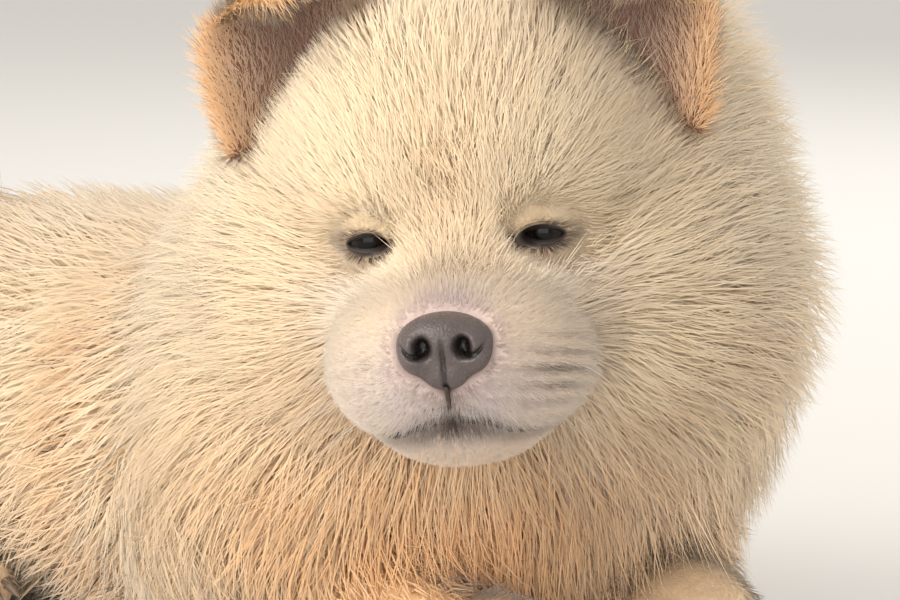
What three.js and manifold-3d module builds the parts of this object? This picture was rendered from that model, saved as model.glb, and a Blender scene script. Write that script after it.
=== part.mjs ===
// A chow chow puppy at life size, lying on its chest with its head turned to look at the viewer.
// Millimetres, +Z up. The puppy faces -Y, its left side is +X, and it lies on the plane Z = 0.

import * as THREE from "three";
import { mergeVertices } from "three/addons/utils/BufferGeometryUtils.js";
import Module from "manifold-3d";

const wasm = await Module();
wasm.setup();

const GAP = 0.3; // between neighbouring pieces
const CORE_SHARE = 0.5; // how far up the long coat the solid core reaches, with locks from there on
const DEGREE = Math.PI / 180;

// The pose
const HEAD_CENTRE = new THREE.Vector3(-38, -152, 176);
const HEAD_YAW = -48 * DEGREE; // turned to the puppy's right
const HEAD_PITCH = 3 * DEGREE; // nose a little down
const HEAD_ROLL = -4 * DEGREE; // left side a little up

// The head, in its own frame: X to its left, -Y along the muzzle, Z up
const EYE_RADIUS = 8.5;
const EYE_SPACING = 59;
const EYE_Z = -6;
const EYE_DEPTH = 8; // from the face to the middle of the eyeball
const NOSE_CENTRE = [0, -87, -35];
const NOSE_RADII = [15, 9.5, 9];
const EAR_BASE = [56, 6, 40];
const EAR_LENGTH = 62;
const EAR_WIDTH = 60;
const EAR_THICKNESS = 9;

// The body
const PAW_SPACING = 96;
const CLAW_LENGTH = 9;
const CLAW_RADIUS = 2.4;
const TAIL_RADIUS = 15;
const TAIL_COAT = 20;
const FLOOR_REACH = 400;

// The locks
const LOCK_SUNK = 6; // how deep a lock is rooted
const LOCK_BASE_LENGTH = 30; // where the coat has no depth
const LOCK_LENGTH_BY_DEPTH = 1.6;
const LOCK_WIDTH_SHARE = 0.6;
const LOCK_THICKNESS_SHARE = 0.26;
const LOCK_STAND_OFF = 2; // how far the tips stand off the form
const CLEAR_OF_NEIGHBOUR = 12; // from the root of a lock to the next piece's form
// The counts are for a whole form, much of which the face or another piece takes.
const HEAD_LOCKS = { count: 132, size: 0.86 };
const NECK_LOCKS = { count: 76, size: 1.05 };
const TORSO_LOCKS = { count: 60, size: 1.3, stretch: [0.75, 1.6, 0.75] };
const THIGH_LOCKS = { count: 24, size: 1.15 };
const TAIL_LOCKS = { count: 18, size: 0.9 };

const headFrame = new THREE.Matrix4().compose(
  HEAD_CENTRE,
  new THREE.Quaternion().setFromEuler(new THREE.Euler(HEAD_PITCH, HEAD_ROLL, HEAD_YAW, "ZXY")),
  new THREE.Vector3(1, 1, 1),
);
const bodyFrame = new THREE.Matrix4();

// Rounded masses of flesh

// An ellipsoid of flesh with the depth of the coat that grows on it.
function mass(centre, radii, coat, { frame = bodyFrame, turn = [0, 0, 0] } = {}) {
  const placed = new THREE.Matrix4()
    .makeRotationFromEuler(new THREE.Euler(...turn.map((angle) => angle * DEGREE)))
    .setPosition(...centre)
    .premultiply(frame);
  return { inverse: placed.invert(), radii: new THREE.Vector3(...radii), coat };
}

const local = new THREE.Vector3();
const scaled = new THREE.Vector3();

function distanceTo(one, point, grow) {
  local.copy(point).applyMatrix4(one.inverse);
  const x = one.radii.x + grow;
  const y = one.radii.y + grow;
  const z = one.radii.z + grow;
  const near = scaled.set(local.x / x, local.y / y, local.z / z).length();
  const far = scaled.set(local.x / (x * x), local.y / (y * y), local.z / (z * z)).length();
  return far > 1e-9 ? (near * (near - 1)) / far : -Math.min(x, y, z);
}

// The distance field of several masses that run smoothly into each other. It reaches `share` of the coat's
// depth out from the skin, or as far out as it is asked for.
function flesh(masses, blend, share = CORE_SHARE) {
  return (point, grow = 0, reach = share) => {
    let distance = Infinity;
    for (const one of masses) {
      const next = distanceTo(one, point, one.coat * reach + grow);
      const overlap = Math.max(blend - Math.abs(distance - next), 0) / blend;
      distance = Math.min(distance, next) - (overlap * overlap * blend) / 4;
    }
    return distance;
  };
}

const REACH = 320; // further than any mass is from the centre that it is wrapped from
const STRIDE = 3;

// Where a ray from the centre leaves the field.
function surfacePoint(field, centre, direction, grow = 0) {
  const point = new THREE.Vector3();
  let outside = REACH;
  while (outside > 0 && field(point.copy(direction).multiplyScalar(outside).add(centre), grow) > 0)
    outside -= STRIDE;
  let inside = Math.max(outside, 0);
  outside = inside + STRIDE;
  for (let i = 0; i < 14; i++) {
    const middle = (inside + outside) / 2;
    if (field(point.copy(direction).multiplyScalar(middle).add(centre), grow) > 0) outside = middle;
    else inside = middle;
  }
  return point.copy(direction).multiplyScalar((inside + outside) / 2).add(centre);
}

function outward(field, point) {
  const step = 0.5;
  const slope = (axis) =>
    field(point.clone().addScaledVector(axis, step)) - field(point.clone().addScaledVector(axis, -step));
  return new THREE.Vector3(
    slope(new THREE.Vector3(1, 0, 0)),
    slope(new THREE.Vector3(0, 1, 0)),
    slope(new THREE.Vector3(0, 0, 1)),
  ).normalize();
}

// Closed solids from three.js geometries

function toSolid(geometry) {
  const bare = geometry.clone();
  bare.deleteAttribute("normal");
  bare.deleteAttribute("uv");
  const merged = mergeVertices(bare, 1e-3);
  const corners = merged.index.array;
  const kept = [];
  for (let i = 0; i < corners.length; i += 3) {
    const [a, b, c] = corners.subarray(i, i + 3);
    if (a !== b && b !== c && c !== a) kept.push(a, b, c);
  }
  const build = (triVerts) =>
    new wasm.Manifold(
      new wasm.Mesh({
        numProp: 3,
        vertProperties: merged.attributes.position.array,
        triVerts: new Uint32Array(triVerts),
      }),
    );
  const solid = build(kept);
  if (solid.volume() > 0) return solid;
  for (let i = 0; i < kept.length; i += 3) [kept[i + 1], kept[i + 2]] = [kept[i + 2], kept[i + 1]];
  return build(kept);
}

// Moves each vertex of a geometry by a function of its place.
function reshape(geometry, place) {
  const positions = geometry.attributes.position;
  const from = new THREE.Vector3();
  for (let i = 0; i < positions.count; i++) {
    const to = place(from.fromBufferAttribute(positions, i));
    positions.setXYZ(i, to.x, to.y, to.z);
  }
  return geometry;
}

// A ball shrunk onto a field. stretch spreads its vertices along a long body, and lean gathers them on one side.
function wrap(field, centre, detail, { grow = 0, stretch = [1, 1, 1], lean = [0, 0, 0] } = {}) {
  const middle = new THREE.Vector3(...centre);
  const drawn = new THREE.Vector3(...stretch);
  const gathered = new THREE.Vector3(...lean);
  const seen = new Map();
  return toSolid(
    reshape(new THREE.IcosahedronGeometry(1, detail), (vertex) => {
      const key = `${vertex.x.toFixed(5)} ${vertex.y.toFixed(5)} ${vertex.z.toFixed(5)}`;
      if (!seen.has(key)) {
        const direction = vertex.clone().multiply(drawn).add(gathered).normalize();
        seen.set(key, surfacePoint(field, middle, direction, grow));
      }
      return seen.get(key);
    }),
  );
}

function ball(radius, centre, { frame = bodyFrame, radii = [1, 1, 1], turn = [0, 0, 0], sides = 13 } = {}) {
  const geometry = new THREE.SphereGeometry(radius, sides, Math.round(sides * 0.6));
  geometry.scale(...radii);
  geometry.applyMatrix4(
    new THREE.Matrix4()
      .makeRotationFromEuler(new THREE.Euler(...turn.map((angle) => angle * DEGREE)))
      .setPosition(...centre)
      .premultiply(frame),
  );
  return toSolid(geometry);
}

// The same numbers between 0 and 1 on every run.
function seeded(seed) {
  let state = seed;
  return () => {
    state = (state + 0x6d2b79f5) | 0;
    let mixed = Math.imul(state ^ (state >>> 15), 1 | state);
    mixed = (mixed + Math.imul(mixed ^ (mixed >>> 7), 61 | mixed)) ^ mixed;
    return ((mixed ^ (mixed >>> 14)) >>> 0) / 4294967296;
  };
}
const chance = seeded(7);
const vary = (amount) => 1 + (chance() * 2 - 1) * amount;

// A lock of coat, three-sided with a flat underside, widest at a third of its length, bending from its root to
// a tapered tip. A grown one has its thin edges and tip moved out far enough to clear the faces beside them.
function lock({ root, normal, bend, tip, width }, grow = 0) {
  const EDGE_SHARE = 5;
  const TIP_SHARE = 7;
  const foot = root.clone().addScaledVector(normal, -LOCK_SUNK);
  const side = new THREE.Vector3().crossVectors(normal, tip.clone().sub(foot)).normalize();
  const curve = new THREE.QuadraticBezierCurve3(foot, bend, tip);
  return toSolid(
    reshape(new THREE.ConeGeometry(1, 1, 3, 3), (vertex) => {
      const along = vertex.y + 0.5;
      const tangent = curve.getTangent(along);
      const place = curve.getPoint(along);
      if (along > 0.999) return place.addScaledVector(tangent, grow * TIP_SHARE);
      const across = vertex.x / (1 - along);
      const up = vertex.z / (1 - along);
      const half = ((1 - along) ** 0.65 * (0.66 + 1.15 * along) * width) / 2;
      const wide = across * half + Math.round(across) * grow * EDGE_SHARE;
      const thick = up * half * LOCK_THICKNESS_SHARE + Math.sign(up) * grow * 1.2;
      const above = new THREE.Vector3().crossVectors(tangent, side).normalize();
      return place.addScaledVector(side, wide).addScaledVector(above, thick);
    }),
  );
}

// A lock that is as long as the coat is deep there. `place` gives a point so far along it and so far below the tips.
function rootedLock(root, normal, depth, size, place) {
  const length = (LOCK_BASE_LENGTH + depth * LOCK_LENGTH_BY_DEPTH) * size * vary(0.16);
  const bend = place(length * 0.42, depth * 0.1);
  const tip = place(length, -LOCK_STAND_OFF * vary(1));
  return { root, normal, bend, tip, width: length * LOCK_WIDTH_SHARE * vary(0.12) };
}

// The outer form of all the coat together, which the tips of the locks lie on.
const forms = [];
const outerForm = (point) => Math.min(...forms.map((field) => field(point, 0, 1)));

function onForm(point, below) {
  for (let i = 0; i < 3; i++) point.addScaledVector(outward(outerForm, point), -below - outerForm(point));
  return point;
}

// Locks rooted evenly over a field, where `flow` gives the way the coat lies, or nothing to leave it bare.
function locksOver(field, centre, { count, size, stretch = [1, 1, 1] }, flow) {
  const GOLDEN = Math.PI * (3 - Math.sqrt(5));
  const SWAY = 0.16;
  const middle = new THREE.Vector3(...centre);
  const drawn = new THREE.Vector3(...stretch);
  const found = [];
  for (let i = 0; i < count; i++) {
    const height = 1 - (2 * i + 1) / count;
    const reach = Math.sqrt(1 - height * height);
    const angle = i * GOLDEN;
    const direction = new THREE.Vector3(reach * Math.cos(angle), height, reach * Math.sin(angle));
    const root = surfacePoint(field, middle, direction.multiply(drawn).normalize());
    const way = flow(root);
    if (!way) continue;
    const normal = outward(field, root);
    const lie = way.addScaledVector(normal, -way.dot(normal)).normalize();
    lie.applyAxisAngle(normal, (vary(1) - 1) * SWAY);
    const place = (along, below) => onForm(root.clone().addScaledVector(lie, along), below);
    found.push(rootedLock(root, normal, -field(root, 0, 1), size, place));
  }
  return found;
}

const union = (solids) => wasm.Manifold.union(solids);

// The core of a node with its locks fused on, and the same a gap larger, to cut its neighbours with.
function coated({ solid, grown }, locks) {
  return {
    solid: union([solid, ...locks.map((one) => lock(one))]),
    grown: union([grown, ...locks.map((one) => lock(one, GAP))]),
  };
}

function largest(solid) {
  return solid.decompose().reduce((best, one) => (one.volume() > best.volume() ? one : best));
}

// The head

const inHead = { frame: headFrame };
const SIDES = [
  ["left", 1],
  ["right", -1],
];

const pair = (centre, radii, coat, options) =>
  SIDES.map(([, side]) => mass([side * centre[0], centre[1], centre[2]], radii, coat, options));

const headField = flesh(
  [
    mass([0, 10, 8], [50, 50, 50], 24, inHead),
    mass([0, -16, -6], [44, 34, 34], 5, inHead),
    mass([0, -14, 30], [40, 30, 24], 16, inHead),
    mass([0, -58, -38], [33, 31, 20], 3, inHead),
    ...pair([23, -28, 14], [20, 20, 15], 8, inHead),
    ...pair([42, 14, -24], [32, 34, 34], 28, inHead),
    ...pair([40, -4, -42], [26, 24, 24], 20, inHead),
    ...pair([18, -61, -49], [20, 23, 18], 3, inHead),
  ],
  13,
);
const jawField = flesh([mass([0, -56, -62], [29, 27, 16], 3, inHead)], 8, 1);
const noseField = flesh(
  [
    mass([NOSE_CENTRE[0], NOSE_CENTRE[1], NOSE_CENTRE[2] + 3], NOSE_RADII, 0, inHead),
    mass([NOSE_CENTRE[0], NOSE_CENTRE[1], NOSE_CENTRE[2] - 7], [9, 8, 7], 0, inHead),
    ...pair([9.5, NOSE_CENTRE[1] - 1, NOSE_CENTRE[2] - 1], [6, 8.5, 7], 0, inHead),
  ],
  4,
);

const toWorld = (place) => new THREE.Vector3(...place).applyMatrix4(headFrame);
const toHead = (point) => point.clone().applyMatrix4(headFrame.clone().invert());

// The eyeball sits behind the face, straight in from where its line of sight leaves the head.
function eyeCentre(side) {
  const line = new THREE.Vector3(0, -1, 0).transformDirection(headFrame);
  const behind = toWorld([(side * EYE_SPACING) / 2, 0, EYE_Z]);
  return toHead(surfacePoint(headField, behind, line).addScaledVector(line, -EYE_DEPTH)).toArray();
}

const eyes = SIDES.map(([name, side]) => {
  const centre = eyeCentre(side);
  const front = [centre[0] + side, centre[1] - 9, centre[2]];
  return {
    name,
    solid: ball(EYE_RADIUS, centre, inHead),
    socket: ball(EYE_RADIUS + GAP, centre, inHead),
    lids: ball(EYE_RADIUS + 1.7, centre, inHead),
    opening: ball(1, front, { ...inHead, radii: [7.3, 9, 3.7], turn: [0, side * -8, 0] }),
  };
});

const nostrils = SIDES.flatMap(([, side]) => [
  ball(1, [side * 6, NOSE_CENTRE[1] - 8.5, NOSE_CENTRE[2] - 1.5], { ...inHead, radii: [2.9, 6, 3.8], sides: 8 }),
  ball(1, [side * 10.5, NOSE_CENTRE[1] - 6.5, NOSE_CENTRE[2] - 4.4], {
    ...inHead,
    radii: [5.5, 7, 1.3],
    turn: [0, side * 8, 0],
    sides: 8,
  }),
]);

function boxAt(size, centre, { frame = bodyFrame, pitch = 0 } = {}) {
  const box = new THREE.BoxGeometry(...size).rotateX(pitch * DEGREE).translate(...centre);
  return toSolid(box.applyMatrix4(frame));
}

const philtrum = boxAt([1.1, 8, 30], [0, NOSE_CENTRE[1] - 8, NOSE_CENTRE[2] - 14], { frame: headFrame, pitch: -20 });

const headCentre = toWorld([0, -22, -14]).toArray();
const FACE_LEAN = 0.25;
const towardFace = new THREE.Vector3(0, -0.85, -0.5).transformDirection(headFrame).multiplyScalar(FACE_LEAN);
const HEAD_WRAP = { lean: towardFace.toArray() };
const headCore = wrap(headField, headCentre, 7, HEAD_WRAP);
const headGrown = wrap(headField, headCentre, 7, { ...HEAD_WRAP, grow: GAP });
const noseMiddle = toWorld(NOSE_CENTRE).toArray();
const noseSolid = wrap(noseField, noseMiddle, 3);
const noseGrown = wrap(noseField, noseMiddle, 3, { grow: GAP });
const jawMiddle = toWorld([0, -50, -60]).toArray();

// An ear is a thick sheet, cupped to the front, with its upper part folded forwards and inwards.
function ear(side, grow) {
  const ACROSS = 6;
  const ALONG = 8;
  const FOLD_FROM = 0.5;
  const FOLD_ANGLE = 125 * DEGREE;
  const CUP = 15;
  const frame = new THREE.Matrix4()
    .makeRotationFromEuler(new THREE.Euler(8 * DEGREE, side * 10 * DEGREE, side * -8 * DEGREE))
    .setPosition(side * EAR_BASE[0], EAR_BASE[1], EAR_BASE[2])
    .premultiply(headFrame);
  const bend = (along) => Math.max(along - FOLD_FROM, 0) / (1 - FOLD_FROM);
  const spine = [new THREE.Vector2(0, -14)];
  const STEPS = 32;
  for (let i = 0; i < STEPS; i++) {
    const angle = bend((i + 0.5) / STEPS) * FOLD_ANGLE;
    const last = spine[spine.length - 1];
    const step = (EAR_LENGTH + 14) / STEPS;
    spine.push(new THREE.Vector2(last.x - Math.sin(angle) * step, last.y + Math.cos(angle) * step));
  }
  const place = (across, along) => {
    const at = THREE.MathUtils.clamp(along, 0, 1) * STEPS;
    const index = Math.min(Math.floor(at), STEPS - 1);
    const middle = spine[index].clone().lerp(spine[index + 1], at - index);
    const half = (EAR_WIDTH / 2) * (1 - 0.8 * along ** 3.4) ** 0.6 + grow;
    const angle = bend(along) * FOLD_ANGLE;
    const cup = -CUP * across * across * (1 - along * 0.75);
    return new THREE.Vector3(
      across * half - side * 13 * bend(along) ** 1.3,
      middle.x + cup * Math.cos(angle),
      middle.y + cup * Math.sin(angle),
    );
  };
  const box = new THREE.BoxGeometry(1, 1, 1, ACROSS, ALONG, 1);
  return toSolid(
    reshape(box, (vertex) => {
      const across = Math.max(-1, Math.min(1, vertex.x * 2));
      const along = vertex.y + 0.5;
      const here = place(across, along);
      const sideways = place(across + 0.02, along).sub(place(across - 0.02, along));
      const upwards = place(across, Math.min(along + 0.02, 1)).sub(place(across, Math.max(along - 0.02, 0)));
      const facing = sideways.cross(upwards).normalize();
      const atEnd = Math.abs(vertex.y) > 0.49 ? Math.sign(vertex.y) : 0;
      here.addScaledVector(upwards.normalize(), atEnd * grow);
      const rim = 1 - 0.45 * Math.max(across * across, along ** 3);
      const thick = vertex.z * (EAR_THICKNESS * rim + 2 * grow);
      return here.addScaledVector(facing, thick).applyMatrix4(frame);
    }),
  );
}

// The neck and the body

const neckField = flesh(
  [
    mass([8, 54, 14], [56, 34, 52], 44, inHead),
    mass([4, 44, -48], [72, 38, 42], 46, inHead),
    mass([0, -76, 112], [66, 46, 60], 44),
    mass([0, -86, 74], [82, 50, 50], 40),
    mass([58, -108, 100], [36, 36, 44], 40),
  ],
  26,
);
const torsoField = flesh(
  [
    mass([0, 36, 70], [76, 105, 66], 24),
    mass([0, 136, 68], [72, 80, 60], 26),
    ...pair([36, -36, 78], [40, 54, 54], 28),
  ],
  24,
);
const tailCurve = new THREE.CatmullRomCurve3(
  [
    [0, 196, 86],
    [3, 238, 118],
    [0, 254, 154],
    [-14, 238, 184],
    [-36, 208, 186],
    [-54, 186, 168],
  ].map((point) => new THREE.Vector3(...point)),
);

// A place on a round tail: `along` it from the root, `turn` round it, and `out` from its middle.
function onTail(along, turn, out) {
  const tangent = tailCurve.getTangentAt(along);
  const across = new THREE.Vector3().crossVectors(tangent, new THREE.Vector3(1, 0, 0)).normalize();
  const normal = across.applyAxisAngle(tangent, turn);
  return { point: tailCurve.getPointAt(along).addScaledVector(normal, out), tangent, normal };
}

function tail(grow) {
  const AROUND = 10;
  const ALONG = 12;
  return toSolid(
    reshape(new THREE.SphereGeometry(1, AROUND, ALONG), (vertex) => {
      const turn = Math.atan2(vertex.z, vertex.x);
      const along = Math.acos(THREE.MathUtils.clamp(vertex.y, -1, 1)) / Math.PI;
      const full = (TAIL_RADIUS + TAIL_COAT * CORE_SHARE) * (1 - 0.25 * along) + grow;
      return onTail(along, turn, full * Math.min(1, Math.hypot(vertex.x, vertex.z) * 1.25)).point;
    }),
  );
}

const tailLocks = [];
for (let i = 0; i < TAIL_LOCKS.count; i++) {
  const along = 0.14 + (0.84 * i) / (TAIL_LOCKS.count - 1);
  const core = (TAIL_RADIUS + TAIL_COAT * CORE_SHARE) * (1 - 0.25 * along);
  const { point, normal } = onTail(along, i * 2.4, core * 0.96);
  const place = (reach, below) => {
    const further = along + reach / tailCurve.getLength();
    const past = Math.max(further - 1, 0) * tailCurve.getLength();
    const out = core + TAIL_COAT * (1 - CORE_SHARE) - below - past * 0.6;
    const { point: at, tangent } = onTail(Math.min(further, 1), i * 2.4, Math.max(out, 3));
    return at.addScaledVector(tangent, past);
  };
  tailLocks.push(rootedLock(point, normal, TAIL_COAT * (1 - CORE_SHARE), TAIL_LOCKS.size, place));
}

// The legs of one side
function legs(side) {
  const forward = side > 0 ? 0 : -14;
  const forepaw = [(PAW_SPACING / 2) * side, -166 + forward, 21];
  const hindpaw = [side * 95, 102, 16];
  return {
    foreleg: {
      field: flesh(
        [
          mass([side * 66, -50, 52], [24, 32, 38], 14),
          mass([side * 58, -104 + forward / 2, 30], [19, 60, 20], 10, { turn: [0, 0, side * 8] }),
        ],
        16,
        1,
      ),
      centre: [side * 63, -80, 36],
    },
    forepaw: paw(forepaw, [20, 30, 19], { spread: 11, reach: 30, height: 12, drop: 8 }),
    thigh: {
      field: flesh([mass([side * 70, 150, 62], [32, 54, 48], 22, { turn: [-12, 0, 0] })], 10),
      centre: [side * 70, 150, 58],
    },
    hindleg: {
      field: flesh(
        [
          mass([side * 92, 156, 18], [14, 52, 15], 8),
          mass([side * 90, 200, 22], [14, 18, 19], 8),
        ],
        14,
        1,
      ),
      centre: [side * 92, 165, 16],
    },
    hindpaw: paw(hindpaw, [18, 26, 15], { spread: 9.5, reach: 24, height: 10, drop: 5 }),
  };
}

// A paw with four toes, the middle two further forward, and a claw at the end of each.
function paw([x, y, z], radii, { spread, reach, height, drop }) {
  const TOE_LENGTH = 13;
  const TOE_COAT = 3;
  const toes = [-1.5, -0.5, 0.5, 1.5].map((place) => [
    x + place * spread,
    y - reach * (1 - 0.07 * place * place),
    z - drop,
  ]);
  const toeMasses = toes.map((toe) => mass(toe, [spread * 0.66, TOE_LENGTH, height], TOE_COAT));
  const claws = toes.map(([toeX, toeY, toeZ]) =>
    toSolid(
      new THREE.ConeGeometry(CLAW_RADIUS, CLAW_LENGTH + CLAW_RADIUS, 6)
        .rotateX(Math.PI / 2 + 0.45)
        .rotateZ(Math.PI)
        .translate(toeX, toeY - TOE_LENGTH - CLAW_RADIUS, toeZ),
    ),
  );
  return {
    field: flesh([mass([x, y, z], radii, 5), ...toeMasses], 5, 1),
    centre: [x, y - 6, z - 5],
    claws,
  };
}

const floor = boxAt([2 * FLOOR_REACH, 2 * FLOOR_REACH, FLOOR_REACH], [0, 0, -FLOOR_REACH / 2]);

const sides = SIDES.map(([name, side]) => ({ name, ...legs(side) }));
forms.push(headField, neckField, torsoField);
for (const { foreleg, thigh } of sides) forms.push(foreleg.field, thigh.field);

// The way the coat lies, and where it has no locks

const FACE = new THREE.Vector3(0, -70, -34);
const flowOf = (x, y, z) => new THREE.Vector3(x, y, z);

const near = (field, root, clear = CLEAR_OF_NEIGHBOUR) => field(root, 0, 1) < clear;
const within = (field, root) => field(root) < 0;

function headFlow(root) {
  const at = toHead(root);
  const onFace = at.y < -26 && Math.abs(at.x) < 52 && at.z < 30;
  const underMuzzle = at.y < -20 && at.z < -46;
  const byEar = Math.hypot(Math.abs(at.x) - EAR_BASE[0], at.y + 8, at.z - EAR_BASE[2] - 8) < 30;
  if (onFace || underMuzzle || byEar || within(neckField, root)) return null;
  return at.sub(FACE).multiply(flowOf(1, 0.8, 1)).add(flowOf(0, 0, -14)).transformDirection(headFrame);
}

function neckFlow(root) {
  if (near(headField, root, 1) || within(torsoField, root) || root.z < 16) return null;
  const fromHead = toHead(root).normalize().transformDirection(headFrame);
  const low = THREE.MathUtils.clamp((150 - root.z) / 100, 0, 1);
  return fromHead.multiplyScalar(1.3 - low).add(flowOf(0, 0.5, -0.7 - 0.9 * low));
}

function torsoFlow(root) {
  if (near(neckField, root) || root.z < 20) return null;
  return flowOf(root.x * 0.004, 1, root.z > 130 ? -0.1 : -0.7);
}

function thighFlow(root) {
  if (near(torsoField, root, 0) || root.z < 22) return null;
  return flowOf(Math.sign(root.x) * 0.1, 0.75, -0.7);
}

function coatedPaw({ field, centre, claws }, detail) {
  const { solid, grown } = wrapped(field, centre, detail, { stretch: [0.7, 1, 0.7] });
  return { solid: union([solid, ...claws]), grown: union([grown, ...claws]) };
}

// Each node takes its place in turn, and those that come after it are cut clear of it.
const placed = [];
const nodes = [];

function settle(name, { solid, grown }, slot, group, sunkIn = []) {
  const cut = union([floor, ...placed, ...sunkIn]);
  nodes.push({ name, slot, group, solid: largest(solid.subtract(cut)) });
  placed.push(grown);
}

const wrapped = (field, centre, detail, options) => ({
  solid: wrap(field, centre, detail, options),
  grown: wrap(field, centre, detail, { ...options, grow: GAP }),
});

for (const { name, solid, socket } of eyes) settle(`eye_${name}`, { solid, grown: socket }, "eye", "head");
settle("nose", { solid: noseSolid.subtract(union([...nostrils, philtrum])), grown: noseGrown }, "nose", "head");
for (const [name, side] of SIDES)
  settle(`ear_${name}`, { solid: ear(side, 0), grown: ear(side, GAP) }, "ear_fur", "head", [headGrown]);
const lids = eyes.map((eye) => eye.lids);
const furred = coated(
  { solid: union([headCore, ...lids]), grown: union([headGrown, ...lids]) },
  locksOver(headField, headCentre, HEAD_LOCKS, headFlow),
);
const openings = union([philtrum, ...eyes.map((eye) => eye.opening)]);
settle("head", { solid: furred.solid.subtract(openings), grown: furred.grown }, "coat", "head");
settle("lower_jaw", wrapped(jawField, jawMiddle, 3), "coat", "head");

for (const { name, forepaw } of sides)
  settle(`forepaw_${name}`, coatedPaw(forepaw, 3), "paw", "body");
for (const { name, foreleg } of sides)
  settle(`foreleg_${name}`, wrapped(foreleg.field, foreleg.centre, 3, { stretch: [0.7, 1, 0.7] }), "coat", "body");
const neckMiddle = [4, -100, 118];
const neckLocks = locksOver(neckField, neckMiddle, NECK_LOCKS, neckFlow);
settle("neck", coated(wrapped(neckField, neckMiddle, 4), neckLocks), "coat", "body");
for (const { name, hindpaw } of sides)
  settle(`hindpaw_${name}`, coatedPaw(hindpaw, 2), "paw", "body");
for (const { name, hindleg } of sides)
  settle(`hindleg_${name}`, wrapped(hindleg.field, hindleg.centre, 2, { stretch: [0.5, 1, 0.5] }), "coat", "body");
for (const { name, thigh } of sides) {
  const locks = locksOver(thigh.field, thigh.centre, THIGH_LOCKS, thighFlow);
  settle(`thigh_${name}`, coated(wrapped(thigh.field, thigh.centre, 3), locks), "coat", "body");
}
settle("tail", coated({ solid: tail(0), grown: tail(GAP) }, tailLocks), "coat", "body");
const torsoMiddle = [0, 60, 74];
const torsoLocks = locksOver(torsoField, torsoMiddle, TORSO_LOCKS, torsoFlow);
settle("torso", coated(wrapped(torsoField, torsoMiddle, 4, { stretch: TORSO_LOCKS.stretch }), torsoLocks), "coat", "body");

// The scene

const COLOURS = {
  coat: { color: 0xf0ddb8, roughness: 0.95, metalness: 0 },
  ear_fur: { color: 0xe8b07a, roughness: 0.95, metalness: 0 },
  paw: { color: 0xf3e4c6, roughness: 0.95, metalness: 0 },
  nose: { color: 0x3b3233, roughness: 0.45, metalness: 0 },
  eye: { color: 0x14100e, roughness: 0.08, metalness: 0 },
};

// The head's pieces hang in a group that carries its pose, and all the others in one for the body.
const puppy = new THREE.Group();
const groups = { head: new THREE.Group(), body: new THREE.Group() };
headFrame.decompose(groups.head.position, groups.head.quaternion, groups.head.scale);
puppy.add(groups.head, groups.body);

// A mesh in its group, with its geometry about its own middle.
function toMesh({ name, slot, group, solid }) {
  const { numProp, numVert, vertProperties, triVerts } = solid.getMesh();
  const places = new Float32Array(numVert * 3);
  for (let i = 0; i < numVert; i++) places.set(vertProperties.subarray(i * numProp, i * numProp + 3), i * 3);
  const geometry = new THREE.BufferGeometry()
    .setAttribute("position", new THREE.BufferAttribute(places, 3))
    .setIndex(new THREE.BufferAttribute(triVerts, 1));
  if (group === "head") geometry.applyMatrix4(headFrame.clone().invert());
  geometry.computeBoundingBox();
  const middle = geometry.boundingBox.getCenter(new THREE.Vector3()).round();
  geometry.translate(-middle.x, -middle.y, -middle.z);
  geometry.computeVertexNormals();
  const mesh = new THREE.Mesh(geometry, new THREE.MeshStandardMaterial({ name: slot, ...COLOURS[slot] }));
  mesh.name = name;
  mesh.position.copy(middle);
  return mesh;
}

for (const node of nodes) groups[node.group].add(toMesh(node));

puppy.updateMatrixWorld(true);
const around = new THREE.Box3().setFromObject(puppy, true);
const underside = around.getCenter(new THREE.Vector3()).setZ(around.min.z);
puppy.position.copy(underside).negate();

export default puppy;
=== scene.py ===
"""A cream chow chow puppy lying on its chest and looking up, with its coat in fine solid tufts."""

import math

import bmesh
import bpy
import numpy as np
from mathutils import Matrix, Vector, kdtree


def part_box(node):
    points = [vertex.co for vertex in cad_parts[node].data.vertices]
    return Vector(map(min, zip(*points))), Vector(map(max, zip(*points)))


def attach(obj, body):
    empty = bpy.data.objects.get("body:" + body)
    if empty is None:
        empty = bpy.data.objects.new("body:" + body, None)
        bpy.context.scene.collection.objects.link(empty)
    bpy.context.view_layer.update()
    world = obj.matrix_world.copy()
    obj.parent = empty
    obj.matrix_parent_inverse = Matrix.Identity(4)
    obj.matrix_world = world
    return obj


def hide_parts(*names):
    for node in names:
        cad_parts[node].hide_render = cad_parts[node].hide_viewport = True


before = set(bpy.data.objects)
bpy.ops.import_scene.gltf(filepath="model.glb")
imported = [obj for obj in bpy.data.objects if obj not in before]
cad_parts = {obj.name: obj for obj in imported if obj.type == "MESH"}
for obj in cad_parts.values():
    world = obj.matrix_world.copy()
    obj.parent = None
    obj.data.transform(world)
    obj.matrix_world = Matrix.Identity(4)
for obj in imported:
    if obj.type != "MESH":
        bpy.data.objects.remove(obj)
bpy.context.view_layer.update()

MM = 0.001  # everything is worked out in millimetres and scaled as it becomes a mesh
rng = np.random.default_rng(11)


def turn(axis, degrees):
    return np.array(Matrix.Rotation(math.radians(degrees), 3, axis))


def unit(vectors):
    return vectors / np.maximum(np.linalg.norm(vectors, axis=-1, keepdims=True), 1e-9)


def smooth(value, low, high):
    """0 below low, 1 above high, and a soft step between."""
    t = np.clip((value - low) / (high - low), 0, 1)
    return t * t * (3 - 2 * t)


def centre_of(node):
    low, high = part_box(node)
    return (np.array(low) + np.array(high)) / 2 / MM


EYES = {"left": centre_of("eye_left"), "right": centre_of("eye_right")}
EYE_MIDDLE = (EYES["left"] + EYES["right"]) / 2
SIGNS = {"left": 1, "right": -1}

# Camera: the eyes and their distance apart fall where they do in the picture

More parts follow.
